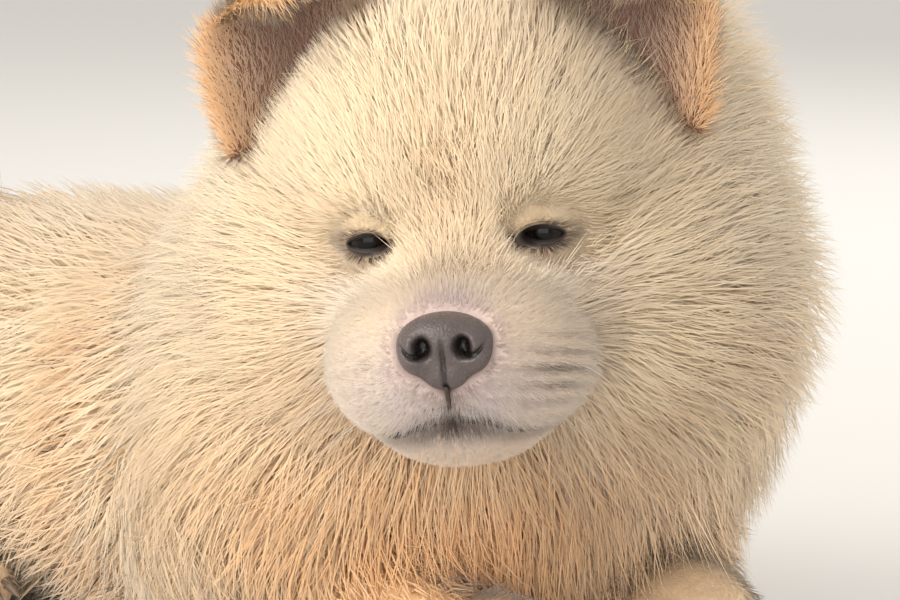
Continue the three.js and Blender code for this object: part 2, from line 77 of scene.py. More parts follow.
AZIMUTH, ELEVATION = math.radians(-40), math.radians(8)
CAMERA_DISTANCE = 1600
SENSOR_WIDTH = 36
FRAME_WIDTH = 300  # at the eyes
AIM_LEFT, AIM_BELOW = 2.8, 21.7  # from the middle between the eyes
TO_CAMERA = np.array(
    [
        math.sin(AZIMUTH) * math.cos(ELEVATION),
        -math.cos(AZIMUTH) * math.cos(ELEVATION),
        math.sin(ELEVATION),
    ]
)
RIGHTWARD = np.array([math.cos(AZIMUTH), math.sin(AZIMUTH), 0])
UPWARD = np.cross(TO_CAMERA, RIGHTWARD)
AIM = EYE_MIDDLE - AIM_LEFT * RIGHTWARD - AIM_BELOW * UPWARD

camera_data = bpy.data.cameras.new("camera")
camera_data.sensor_width = SENSOR_WIDTH
camera_data.lens = SENSOR_WIDTH * CAMERA_DISTANCE / FRAME_WIDTH
camera = bpy.data.objects.new("camera", camera_data)
camera.location = Vector((AIM + TO_CAMERA * CAMERA_DISTANCE) * MM)
camera.rotation_euler = Vector(-TO_CAMERA).to_track_quat("-Z", "Y").to_euler()
bpy.context.scene.collection.objects.link(camera)
bpy.context.scene.camera = camera

# Flesh: rounded masses, each with the depth of the coat on it, blended group by group

HEAD_CENTRE = np.array([-38.0, -152.0, 176.0])
HEAD_TURN = turn("Z", -48) @ turn("X", 3) @ turn("Y", -4)
EYE_SPACING, EYE_Z, EYE_DEPTH, EYE_RADIUS = 59, -6, 8, 8.5
NOSE = np.array([0.0, -87.0, -35.0])
PAW_SPACING = 96
RIGHT_PAW_AHEAD = 14
PAW_Y = -166
HEAD_GROUP, JAW_GROUP, NECK_GROUP, TORSO_GROUP, LEG_GROUPS = range(5)
GROUPS_A_SIDE = 5
TAIL_GROUP = LEG_GROUPS + 2 * GROUPS_A_SIDE
JAW_BLEND, PART_BLEND = 2.5, 10

groups = []  # (blend, [(centre, axes, radii, coat), ...])


def group(blend, *masses):
    groups.append((blend, [one for some in masses for one in some]))


def mass(centre, radii, coat, head=False, turned=(0, 0, 0), both=False):
    """One mass, or one for each side."""
    found = []
    for side in (1, -1) if both else (1,):
        place = np.array([side * centre[0], centre[1], centre[2]], float)
        axes = turn("X", turned[0]) @ turn("Y", turned[1]) @ turn("Z", side * turned[2])
        if head:
            place, axes = HEAD_CENTRE + HEAD_TURN @ place, HEAD_TURN @ axes
        found.append((place, axes, np.array(radii, float), coat))
    return found


group(
    13,
    mass([0, 10, 8], [50, 50, 50], 24, head=True),
    mass([0, -16, -6], [44, 34, 34], 5, head=True),
    mass([0, -14, 30], [40, 30, 24], 16, head=True),
    mass([0, -58, -38], [33, 31, 20], 3, head=True),
    mass([23, -28, 14], [20, 20, 15], 8, head=True, both=True),
    mass([42, 14, -24], [32, 34, 34], 28, head=True, both=True),
    mass([40, -4, -42], [26, 24, 24], 20, head=True, both=True),
    mass([18, -61, -49], [20, 23, 18], 3, head=True, both=True),
)
group(8, mass([0, -56, -62], [29, 27, 16], 3, head=True))
group(
    26,
    mass([8, 54, 14], [56, 34, 52], 44, head=True),
    mass([4, 44, -48], [72, 38, 42], 46, head=True),
    mass([0, -76, 112], [66, 46, 60], 44),
    mass([0, -86, 74], [82, 50, 50], 40),
    mass([58, -108, 100], [36, 36, 44], 40),
)
group(
    24,
    mass([0, 36, 70], [76, 105, 66], 24),
    mass([0, 136, 68], [72, 80, 60], 26),
    mass([36, -36, 78], [40, 54, 54], 28, both=True),
)

TOE_LENGTH, TOE_COAT, PAW_COAT = 13, 3, 5
TOE_WIDTH = 0.66  # half a toe's width over the spacing
FOREPAW_TOES = (11, 30, 8)  # spacing, reach and drop of the toes
HINDPAW_TOES = (9.5, 24, 5)


def toe_places(middle, spacing, reach, drop):
    x, y, z = middle
    toes = (-1.5, -0.5, 0.5, 1.5)
    return [[x + toe * spacing, y - reach * (1 - 0.07 * toe * toe), z - drop] for toe in toes]


def paw(middle, radii, height, toes):
    toe_radii = [toes[0] * TOE_WIDTH, TOE_LENGTH, height]
    toe_masses = [mass(at, toe_radii, TOE_COAT) for at in toe_places(middle, *toes)]
    group(5, mass(middle, radii, PAW_COAT), *toe_masses)


FOREPAWS = [[PAW_SPACING / 2 * side, PAW_Y - (RIGHT_PAW_AHEAD if side < 0 else 0), 21] for side in (1, -1)]
HINDPAWS = [[95 * side, 102, 16] for side in (1, -1)]
for side, forepaw, hindpaw in zip((1, -1), FOREPAWS, HINDPAWS):
    forward = (forepaw[1] - PAW_Y) / 2
    group(
        16,
        mass([side * 66, -50, 52], [24, 32, 38], 14),
        mass([side * 58, -104 + forward, 30], [19, 60, 20], 10, turned=(0, 0, side * 8)),
    )
    group(10, mass([side * 70, 150, 62], [32, 54, 48], 22, turned=(-12, 0, 0)))
    group(14, mass([side * 92, 156, 18], [14, 52, 15], 8), mass([side * 90, 200, 22], [14, 18, 19], 8))
    paw(forepaw, [20, 30, 19], 12, FOREPAW_TOES)
    paw(hindpaw, [18, 26, 15], 10, HINDPAW_TOES)

TAIL_POINTS = np.array(
    [[0, 196, 86], [3, 238, 118], [0, 254, 154], [-14, 238, 184], [-36, 208, 186], [-54, 186, 168]], float
)
TAIL_BALLS = 16
TAIL_RADIUS, TAIL_TAPER, TAIL_COAT = 15, 0.25, 20


def tail_at(along):
    """A point on the tail's curve, and its direction, for along from 0 at the root to 1."""
    first, last = 2 * TAIL_POINTS[0] - TAIL_POINTS[1], 2 * TAIL_POINTS[-1] - TAIL_POINTS[-2]
    ends = np.vstack([first, TAIL_POINTS, last])
    at = min(along, 0.9999) * (len(TAIL_POINTS) - 1)
    i, t = int(at), at - int(at)
    a, b, c, d = ends[i : i + 4]
    bend, twist = 2 * a - 5 * b + 4 * c - d, 3 * b - a - 3 * c + d
    point = 0.5 * (2 * b + (c - a) * t + bend * t**2 + twist * t**3)
    slope = 0.5 * ((c - a) + 2 * bend * t + 3 * twist * t**2)
    return point, unit(slope)


tail_balls = []
for i in range(TAIL_BALLS):
    radius = TAIL_RADIUS * (1 - TAIL_TAPER * i / (TAIL_BALLS - 1))
    tail_balls.append(mass(tail_at(i / (TAIL_BALLS - 1))[0], [radius] * 3, TAIL_COAT))
group(10, *tail_balls)


def distance(one, points, share):
    """How far points are outside one mass, with the share of its coat that is counted to it."""
    centre, axes, radii, coat = one
    local = (points - centre) @ axes
    reach = radii + coat * share
    near = np.linalg.norm(local / reach, axis=1)
    far = np.linalg.norm(local / reach**2, axis=1)
    return np.where(far > 1e-9, near * (near - 1) / np.maximum(far, 1e-9), -reach.min())


def join(a, b, blend):
    overlap = np.maximum(blend - np.abs(a - b), 0) / blend
    return np.minimum(a, b) - overlap**2 * blend / 4


def union_of(masses, points, share, blend):
    total = np.full(len(points), 1e6)
    for one in masses:
        total = join(total, distance(one, points, share), blend)
    return total


def flesh(points, share=0.0, some=None):
    """How far each point is outside the flesh, with a share of the coat's depth counted to it."""
    total = None
    for index, (blend, masses) in enumerate(groups):
        if some is None or index in some:
            own = union_of(masses, points, share, blend)
            between = JAW_BLEND if index == JAW_GROUP else PART_BLEND
            total = own if total is None else join(total, own, between)
    return total


# The frame's origin is under the middle of the puppy, so the flesh moves to fit the eyes of the frame.
line = np.array([[EYE_SPACING / 2, -y, EYE_Z] for y in np.arange(20, 80, 0.05)])
outside = flesh(HEAD_CENTRE + line @ HEAD_TURN.T, 0.5, some=[HEAD_GROUP]) > 0
eye_y = line[np.argmax(outside)][1] + EYE_DEPTH
SHIFT = EYE_MIDDLE - (HEAD_CENTRE + HEAD_TURN @ np.array([0, eye_y, EYE_Z]))
SHIFT[2] = 0
HEAD_CENTRE = HEAD_CENTRE + SHIFT
TAIL_POINTS = TAIL_POINTS + SHIFT
groups = [(blend, [(one[0] + SHIFT, *one[1:]) for one in masses]) for blend, masses in groups]
FACE_SOFTNESS = 21  # the finished face runs more softly from muzzle to brow than its faceted form
groups[HEAD_GROUP] = (FACE_SOFTNESS, groups[HEAD_GROUP][1])


def in_head(points):
    return (points - HEAD_CENTRE) @ HEAD_TURN


def from_head(points):
    return HEAD_CENTRE + np.asarray(points, float) @ HEAD_TURN.T


# Making meshes


def link(name, mesh):
    made = bpy.data.objects.new(name, mesh)
    bpy.context.scene.collection.objects.link(made)
    return made


def mesh_from(bm, name):
    mesh = bpy.data.meshes.new(name)
    bm.to_mesh(mesh)
    bm.free()
    return mesh


def coordinates(mesh):
    flat = np.empty(len(mesh.vertices) * 3, np.float32)
    mesh.vertices.foreach_get("co", flat)
    return flat.reshape(-1, 3).astype(float) / MM


def set_coordinates(mesh, points):
    mesh.vertices.foreach_set("co", (points * MM).astype(np.float32).ravel())
    mesh.update()


def vertex_normals(mesh):
    flat = np.empty(len(mesh.vertices) * 3, np.float32)
    mesh.vertex_normals.foreach_get("vector", flat)
    return flat.reshape(-1, 3).astype(float)


def add_float(mesh, name, values):
    mesh.attributes.new(name, "FLOAT", "POINT").data.foreach_set("value", np.asarray(values, np.float32))


def get_float(mesh, name):
    flat = np.empty(len(mesh.vertices), np.float32)
    mesh.attributes[name].data.foreach_get("value", flat)
    return flat.astype(float)


SHEET_MARGIN, SHEET_FILL = 0.02, 0.95  # of a cell of the unwrap


def box_unwrap(points, normals, low, high):
    """Six sides of a box, each in its own cell of a three by two sheet."""
    axis = np.abs(normals).argmax(1)
    rows = np.arange(len(points))
    positive = normals[rows, axis] > 0
    cells = []
    for step in (1, 2):
        other = (axis + step) % 3
        share = np.clip((points[rows, other] - low[other]) / (high[other] - low[other]), 0, 1)
        cells.append(SHEET_MARGIN + SHEET_FILL * share)
    return np.stack([(axis + cells[0]) / 3, (positive + cells[1]) / 2], 1)


def unwrap(mesh, uv_by_vertex):
    corners = np.empty(len(mesh.loops), np.int32)
    mesh.loops.foreach_get("vertex_index", corners)
    layer = mesh.uv_layers.new(name="OFBake")
    layer.data.foreach_set("uv", uv_by_vertex[corners].astype(np.float32).ravel())


def finish_surface(mesh):
    """Its own unwrap and soft shading."""
    points, normals = coordinates(mesh), vertex_normals(mesh)
    unwrap(mesh, box_unwrap(points, normals, points.min(0), points.max(0)))
    mesh.polygons.foreach_set("use_smooth", [True] * len(mesh.polygons))


def balls(name, shapes, subdivisions):
    """One mesh of several ellipsoids."""
    bm = bmesh.new()
    for centre, axes, radii in shapes:
        place = Matrix.Translation(Vector(centre * MM)) @ Matrix(axes).to_4x4()
        matrix = place @ Matrix.Diagonal(Vector((*(radii * MM), 1)))
        bmesh.ops.create_icosphere(bm, subdivisions=subdivisions, radius=1, matrix=matrix)
    return mesh_from(bm, name)


def quads_between(bm, rows, closed=False):
    """Faces between neighbouring rows of vertices."""
    for near, far in zip(rows, rows[1:]):
        count = len(near)
        for i in range(count if closed else count - 1):
            j = (i + 1) % count
            bm.faces.new((near[i], near[j], far[j], far[i]))


def tube(bm, path, radii, sides, lean, ahead=None):
    """A closed tube along a path; its rings face ahead, or else along the path."""
    last = len(path) - 1
    near = []
    for i, (point, radius) in enumerate(zip(path, radii)):
        facing = unit(path[min(i + 1, last)] - path[max(i - 1, 0)]) if ahead is None else ahead
        across = unit(np.cross(facing, lean))
        axes = Matrix(np.stack([np.cross(facing, across), across, facing], 1)).to_4x4()
        ring = bmesh.ops.create_circle(
            bm, cap_ends=i in (0, last), segments=sides, radius=radius * MM,
            matrix=Matrix.Translation(Vector(point * MM)) @ axes,
        )["verts"]
        far = [bm.edges.get((ring[k], ring[(k + 1) % sides])) for k in range(sides)]
        if near:
            bmesh.ops.bridge_loops(bm, edges=near + far)
        near = far


def smooth_piece(bm, name):
    """A finished piece, with its faces turned outwards."""
    bmesh.ops.recalc_face_normals(bm, faces=bm.faces)
    mesh = mesh_from(bm, name)
    finish_surface(mesh)
    return link(name, mesh)


# The skin, with room for the eyeballs and behind the nostrils

SKIN_SHARE = 0.3  # the skin stands as far up the coat as its dense undercoat
SKIN_STEPS, SKIN_STEP = 5, 4
LOWEST_SKIN = 0.5
VOXEL = 2.6
EYE_ROOM, EYE_ROOM_EDGE, EYE_ROOM_DEPTH = 7.5, 11.5, 9
NOSE_ROOM_WIDE, NOSE_ROOM_TALL, NOSE_ROOM_DEPTH = 10.5, 7.5, 6
BACKWARD = HEAD_TURN @ np.array([0, 1.0, 0])

masses = [one for _, some in groups for one in some]
skin = link("skin", balls("skin", [one[:3] for one in masses], 3))
remesh = skin.modifiers.new("remesh", "REMESH")
remesh.mode = "VOXEL"
remesh.voxel_size = VOXEL * MM
evaluated = skin.evaluated_get(bpy.context.evaluated_depsgraph_get())
mesh = bpy.data.meshes.new_from_object(evaluated)
skin.modifiers.clear()
skin.data = mesh
places = coordinates(mesh)
for _ in range(SKIN_STEPS):
    step = np.clip(flesh(places, SKIN_SHARE), -SKIN_STEP, SKIN_STEP)
    places -= vertex_normals(mesh) * step[:, None]
    places[:, 2] = np.maximum(places[:, 2], LOWEST_SKIN)
    set_coordinates(mesh, places)

LID_SLANT = 2


def eye_frame(side):
    """The eyeball's middle, and its outward, upward and forward directions with the slant of the lids."""
    slanted = HEAD_TURN @ turn("Y", LID_SLANT * SIGNS[side])
    directions = ([SIGNS[side], 0, 0], [0, 0, 1], [0, -1, 0])
    return EYES[side], *(slanted @ np.array(direction, float) for direction in directions)


def in_eye(points, side):
    middle, *directions = eye_frame(side)
    return (points - middle) @ np.stack(directions, 1)


for side in EYES:
    local = in_eye(places, side)
    radial = np.hypot(local[:, 0] / 1.15, local[:, 1])
    inside = (1 - smooth(radial, EYE_ROOM, EYE_ROOM_EDGE)) * (local[:, 2] > -6)
    places -= np.outer(inside * EYE_ROOM_DEPTH, eye_frame(side)[3])
local = in_head(places) - NOSE
radial = (local[:, 0] / NOSE_ROOM_WIDE) ** 2 + ((local[:, 2] + 1) / NOSE_ROOM_TALL) ** 2
places += np.outer(np.exp(-(radial**2)) * (local[:, 1] < 12) * NOSE_ROOM_DEPTH, BACKWARD)
set_coordinates(mesh, places)
skin_points, skin_normals = coordinates(mesh), vertex_normals(mesh)

# Lids: a dark wet rim round an almond opening on the eyeball, then skin out to the face

OPENING_WIDE, OPENING_UP, OPENING_DOWN = 6.7, 2.5, 2.2
ALMOND_POINT = 1.3  # above 1 draws the corners out to points
LID_SIDES = 64
LID_REACH = 15
LID_RADIUS = 9.6
LID_ROWS = 9  # from the lid's edge to the face
# (share of the way from the almond to the circle, radius about the eyeball, share of the way to the skin)
LID_EDGE = [(-0.05, 8.35, 0), (0, 8.9, 0), (0.03, 9.35, 0), (0.08, LID_RADIUS, 0), (0.13, LID_RADIUS, 0.02)]
FOLD_HEIGHT, FOLD_AT, FOLD_WIDTH = 0.9, 0.3, 0.1
RIM_INNER, RIM_OUTER = 0.07, 0.17  # where the dark rim begins to fade, and where it ends


def skin_ahead(base, forward):
    """How far ahead of each place the head's skin is, found by halving."""
    low, high = np.full(len(base), -25.0), np.full(len(base), 25.0)
    for _ in range(18):
        halfway = (low + high) / 2
        inside = flesh(base + halfway[:, None] * forward, SKIN_SHARE, some=[HEAD_GROUP]) < 0
        low, high = np.where(inside, halfway, low), np.where(inside, high, halfway)
    return low


def lids(side):
    middle, outward, upward, forward = eye_frame(side)
    angle = np.linspace(0, 2 * math.pi, LID_SIDES, endpoint=False)
    rise = np.sin(angle)
    half = np.where(rise > 0, OPENING_UP, OPENING_DOWN) * np.sign(rise) * np.abs(rise) ** ALMOND_POINT
    almond = np.stack([OPENING_WIDE * np.cos(angle), half], 1)
    circle = LID_REACH * np.stack([np.cos(angle), rise], 1)
    edge = LID_EDGE[-1][0]
    rows = list(LID_EDGE)
    for k in range(1, LID_ROWS + 1):
        t = k / LID_ROWS
        rows.append((edge + (1 - edge) * t, LID_RADIUS + 0.5 * math.sin(math.pi * t), t**0.8))
    bm = bmesh.new()
    loops, rim = [], []
    for share, radius, on_skin in rows:
        flat = almond + (circle - almond) * share
        depth = np.sqrt(np.maximum(radius**2 - (flat**2).sum(1), 2))
        base = middle + np.outer(flat[:, 0], outward) + np.outer(flat[:, 1], upward)
        surface = skin_ahead(base, forward) - 1.6 * on_skin**3
        fold = FOLD_HEIGHT * math.exp(-(((share - FOLD_AT) / FOLD_WIDTH) ** 2)) * np.maximum(rise, 0)
        out = depth * (1 - on_skin) + surface * on_skin + fold
        points = base + np.outer(np.maximum(out, surface * (on_skin > 0)), forward)
        loops.append([bm.verts.new(Vector(point * MM)) for point in points])
        rim += [1 - smooth(share, RIM_INNER, RIM_OUTER)] * LID_SIDES
    quads_between(bm, loops, closed=True)
    bmesh.ops.recalc_face_normals(bm, faces=bm.faces)
    bm.normal_update()
    if sum((face.normal for face in bm.faces), Vector()).dot(Vector(forward)) < 0:
        bmesh.ops.reverse_faces(bm, faces=bm.faces)
    mesh = mesh_from(bm, f"lids_{side}")
    add_float(mesh, "rim", rim)
    return link(f"lids_{side}", mesh)


lid_pieces = {side: lids(side) for side in EYES}

BEHIND_PUPIL = 20  # keeps the iris off the back of the eyeball
eye_pieces = {}
for side, middle in EYES.items():
    mesh = balls(f"eyeball_{side}", [(middle, HEAD_TURN, np.full(3, EYE_RADIUS))], 5)
    local = in_eye(coordinates(mesh), side)
    add_float(mesh, "from_pupil", np.hypot(local[:, 0], local[:, 1]) + BEHIND_PUPIL * (local[:, 2] < 0))
    finish_surface(mesh)
    eye_pieces[side] = link(f"eyeball_{side}", mesh)

# The nose leather, with comma-shaped nostrils and a groove down its middle

NOSE_BLEND = 4
NOSTRIL_DEPTH, SLIT_DEPTH, GROOVE_DEPTH, WING_HEIGHT = 6.0, 2.2, 1.3, 1.0
nose_masses = mass([NOSE[0], NOSE[1], NOSE[2] + 3], [15, 9.5, 9], 0, head=True)
nose_masses += mass([0, NOSE[1], NOSE[2] - 7], [9, 8, 7], 0, head=True)
nose_masses += mass([9.5, NOSE[1] - 1, NOSE[2] - 1], [6, 8.5, 7], 0, head=True, both=True)


def nose_field(points):
    return union_of(nose_masses, points, 0, NOSE_BLEND)


mesh = balls("nose_leather", [(from_head(NOSE), HEAD_TURN, np.array([13.0, 8.0, 9.0]))], 6)
places = coordinates(mesh)
for _ in range(8):
    places -= vertex_normals(mesh) * nose_field(places)[:, None]
    set_coordinates(mesh, places)
local = in_head(places) - NOSE
sideways, down = np.abs(local[:, 0]), local[:, 2]
front = smooth(-local[:, 1], -2, 4)
hole = np.exp(-((((sideways - 6.7) / 2.8) ** 2 + ((down - 1.4) / 3.5) ** 2) ** 1.6))
slit = np.exp(-(((down + 1.4 - 0.16 * (sideways - 9) ** 2) / 1.1) ** 2))
slit *= smooth(sideways, 6, 9) * smooth(-sideways, -15, -12)
groove = np.exp(-((local[:, 0] / 0.9) ** 2)) * smooth(-down, -7, 0)
wing = np.exp(-(((sideways - 11.2) / 2.6) ** 2 + ((down - 3.4) / 2.6) ** 2))
depth = front * (NOSTRIL_DEPTH * hole + SLIT_DEPTH * slit + GROOVE_DEPTH * groove - WING_HEIGHT * wing)
places += np.outer(depth, BACKWARD)
set_coordinates(mesh, places)
# Painted shade: the nostrils, the slits beside them and the middle groove darkened as hollows.
add_float(mesh, "dark", np.clip(front * (1.5 * hole + 1.1 * slit + 0.7 * groove), 0, 1))
finish_surface(mesh)
nose_piece = link("nose_leather", mesh)

# The line of the mouth, where the upper lips meet the jaw, and the groove above it

LIP_STEPS = 61
MOUTH_ANGLE = 68  # from the middle to each corner
MOUTH_BACK = -34  # the middle of the mouth's arc in the head's frame
LIP_RADIUS = 1.9
GROOVE_STEPS, GROOVE_RADIUS = 12, 0.8

lip_line = []
heights, reach = np.arange(-40, -84, -0.5), np.arange(70, 10, -0.4)
rows = np.arange(len(heights))
for angle in np.linspace(-MOUTH_ANGLE, MOUTH_ANGLE, LIP_STEPS):
    outward = np.array([math.sin(math.radians(angle)), -math.cos(math.radians(angle))])
    grid = np.array([[outward[0] * r, MOUTH_BACK + outward[1] * r, z] for z in heights for r in reach])
    world = from_head(grid)
    head_side = flesh(world, some=[HEAD_GROUP]).reshape(len(heights), -1)
    jaw_side = flesh(world, some=[JAW_GROUP]).reshape(len(heights), -1)
    first = (np.minimum(head_side, jaw_side) < 0).argmax(1)
    jaw_leads = jaw_side[rows, first] < head_side[rows, first]
    if jaw_leads.any():
        k = jaw_leads.argmax()
        lip_line.append(grid.reshape(len(heights), len(reach), 3)[k, first[k]] + [*outward, 0])
lip_line = from_head(np.array(lip_line))

groove_line = []
for t in np.linspace(0, 1, GROOVE_STEPS):
    below = np.full(200, NOSE[2] - 12 - 12 * t)
    line = from_head(np.stack([np.zeros(200), np.linspace(-110, -60, 200), below], 1))
    inside = np.minimum(flesh(line, SKIN_SHARE, some=[HEAD_GROUP, JAW_GROUP]), nose_field(line)) < 0
    groove_line.append(line[np.argmax(inside)] + HEAD_TURN @ np.array([0, -0.6, 0]))
groove_line = np.array(groove_line)

taper = 1 - 0.6 * np.abs(np.linspace(-1, 1, len(lip_line))) ** 3
mouth_pieces = []
for name, path, radii in (
    ("lips", lip_line, LIP_RADIUS * taper),
    ("philtrum", groove_line, np.full(GROOVE_STEPS, GROOVE_RADIUS)),
):
    bm = bmesh.new()
    tube(bm, path, radii, 8, [0.1, 0.2, 1.0])
    mouth_pieces.append(smooth_piece(bm, name))

# The ears: thick cupped sheets with the upper part folded forwards and inwards

EAR_BASE = np.array([56.0, 6.0, 40.0])
EAR_LENGTH, EAR_WIDTH, EAR_THICKNESS = 62, 60, 9
EAR_ROOTED = 14
EAR_CUP = 15
FOLD_FROM, FOLD_ANGLE, FOLD_INWARD = 0.5, math.radians(125), 13
EAR_COLUMNS, EAR_ROWS = 37, 49
EAR_STEPS = 64


def ear_surface(side, across, along):
    """A point of the ear's middle sheet in the head's frame, across from -1 to 1, along from 0 to 1."""
    bend = np.maximum((np.arange(EAR_STEPS) + 0.5) / EAR_STEPS - FOLD_FROM, 0) / (1 - FOLD_FROM)
    step = (EAR_LENGTH + EAR_ROOTED) / EAR_STEPS
    spine_y = np.concatenate([[0], np.cumsum(-np.sin(bend * FOLD_ANGLE) * step)])
    spine_z = np.concatenate([[0], np.cumsum(np.cos(bend * FOLD_ANGLE) * step)]) - EAR_ROOTED
    at = np.clip(along, 0, 1)
    y = np.interp(at * EAR_STEPS, np.arange(EAR_STEPS + 1), spine_y)
    z = np.interp(at * EAR_STEPS, np.arange(EAR_STEPS + 1), spine_z)
    half = EAR_WIDTH / 2 * (1 - 0.8 * at**3.4) ** 0.6
    bent = np.maximum(at - FOLD_FROM, 0) / (1 - FOLD_FROM)
    cup = -EAR_CUP * across**2 * (1 - 0.75 * at)
    local = np.stack(
        [
            across * half - side * FOLD_INWARD * bent**1.3,
            y + cup * np.cos(bent * FOLD_ANGLE),
            z + cup * np.sin(bent * FOLD_ANGLE),
        ],
        -1,
    )
    pose = turn("X", 8) @ turn("Y", side * 10) @ turn("Z", side * -8)
    return local @ pose.T + EAR_BASE * [side, 1, 1]


def ear(name, side):
    """The ear as two skins, front and back, joined round the edge."""
    wide, tall = EAR_COLUMNS, EAR_ROWS
    across, along = np.meshgrid(np.linspace(-1, 1, wide), np.linspace(0, 1, tall))
    middle = ear_surface(side, across, along)
    step = 0.02
    sideways = ear_surface(side, across + step, along) - ear_surface(side, across - step, along)
    above, below = (ear_surface(side, across, np.clip(along + move, 0, 1)) for move in (step, -step))
    facing = unit(np.cross(sideways, above - below))
    rim = np.sqrt(np.clip(1 - np.maximum(np.abs(across) ** 4, along**8), 0, 1))
    thick = (EAR_THICKNESS / 2 - 1) * rim * (1 - 0.3 * along) + 0.2
    bm = bmesh.new()
    sheets = []
    for sign in (1, -1):
        points = from_head((middle + facing * (sign * thick)[..., None]).reshape(-1, 3))
        sheets.append([bm.verts.new(Vector(point * MM)) for point in points])
    for sheet in sheets:
        quads_between(bm, [sheet[row * wide : (row + 1) * wide] for row in range(tall)])
    edge = [*range(wide)] + [row * wide + wide - 1 for row in range(1, tall)]
    edge += [(tall - 1) * wide + column for column in range(wide - 2, -1, -1)]
    edge += [row * wide for row in range(tall - 2, 0, -1)]
    for a, b in zip(edge, edge[1:] + edge[:1]):
        bm.faces.new((sheets[0][a], sheets[0][b], sheets[1][b], sheets[1][a]))
    bmesh.ops.recalc_face_normals(bm, faces=bm.faces)
    mesh = mesh_from(bm, name)
    front_first = facing[..., 1].mean() < 0
    add_float(mesh, "inner", np.repeat([front_first, not front_first], wide * tall))
    add_float(mesh, "across", np.tile(across.ravel(), 2))
    add_float(mesh, "along", np.tile(along.ravel(), 2))
    return link(name, mesh)


ears = {side: ear(f"ear_skin_{side}", sign) for side, sign in SIGNS.items()}

# The coat: where each tuft is rooted, which way it lies, and how far out its tip comes

NOSE_FRONT = np.array([0, -94, -38])
DOWN = np.array([0, 0, -1.0])
TAIL_SAMPLES = 24
FLOW_BLEND = 7


def head_flow(points):
    at = in_head(points)
    away = (at - NOSE_FRONT) * [1, 0.8, 1]
    away[:, 2] -= 16 * smooth(at[:, 1], -40, 0)
    return away @ HEAD_TURN.T


def neck_flow(points):
    low = np.clip((150 - points[:, 2:]) / 100, 0, 1)
    return unit(points - HEAD_CENTRE) * (1.3 - low) + DOWN * (0.7 + 0.9 * low) + [0, 0.4, 0]


def torso_flow(points):
    across = points[:, :1] * 0.004
    fall = -0.7 + 0.6 * smooth(points[:, 2:], 110, 140)
    return np.concatenate([across, np.ones_like(across), fall], 1)


def tail_flow(points):
    samples = [tail_at(k / TAIL_SAMPLES) for k in range(TAIL_SAMPLES + 1)]
    places, directions = (np.array(values) for values in zip(*samples))
    nearest = ((points[:, None] - places) ** 2).sum(2).argmin(1)
    return directions[nearest]


def steady_flow(x, y, z):
    """A flow in one direction, mirrored on the right side."""
    return lambda points: np.where(points[:, :1] > 0, [x, y, z], [-x, y, z])


# Foreleg, thigh, hind leg, forepaw and hind paw
side_flows = [
    steady_flow(0, -0.9, -0.5),
    steady_flow(0.1, 0.75, -0.7),
    steady_flow(0.1, -0.8, -0.4),
    steady_flow(0, -1, -0.35),
    steady_flow(0, -1, -0.3),
]
flows = [head_flow, head_flow, neck_flow, torso_flow, *side_flows, *side_flows, tail_flow]


def apart_from_groups(points):
    return np.stack([flesh(points, some=[k]) for k in range(len(groups))], 1)


def coat_flow(points):
    """The way the coat lies, running from the flow of one part of the body into the next."""
    apart = apart_from_groups(points)
    weight = np.exp(-(apart - apart.min(1, keepdims=True)) / FLOW_BLEND)
    weight /= weight.sum(1, keepdims=True)
    total = np.zeros_like(points)
    for k, flow in enumerate(flows):
        total += unit(flow(points)) * weight[:, k : k + 1]
    for side in EYES:
        local = in_eye(points, side)
        radial = np.hypot(local[:, 0], local[:, 1])
        close = 0.75 * ((1 - smooth(radial, 8, 24)) * (local[:, 2] > -12))[:, None]
        _, outward, upward, _ = eye_frame(side)
        ring = unit(np.outer(local[:, 0], outward) + np.outer(local[:, 1], upward))
        total = total * (1 - close) + ring * close
    return total


def slope_of(points, share):
    """How far points are outside a form, and the way out of it."""
    moves = np.eye(3) * 0.6
    here = flesh(points, share)
    return here, unit(np.stack([flesh(points + move, share) - here for move in moves], 1))


def ripple(points, scale, seed):
    """A smooth wandering value between about -1 and 1."""
    total = 0
    for a, b, c, d in np.random.default_rng(seed).uniform(0, 6.28, (6, 4)):
        direction = unit(np.array([math.cos(a), math.sin(b), math.cos(c)]))
        total = total + np.sin(points @ direction * (6.28 / scale) * (0.7 + 0.1 * d) + d)
    return total / 3


def distance_to_line(points, line):
    return np.sqrt(((points[:, None] - line[::2]) ** 2).sum(2)).min(1)


def spot(points, centre, radii):
    """A soft round spot, 1 at its centre."""
    return np.exp(-(((points - centre) / radii) ** 2).sum(1))


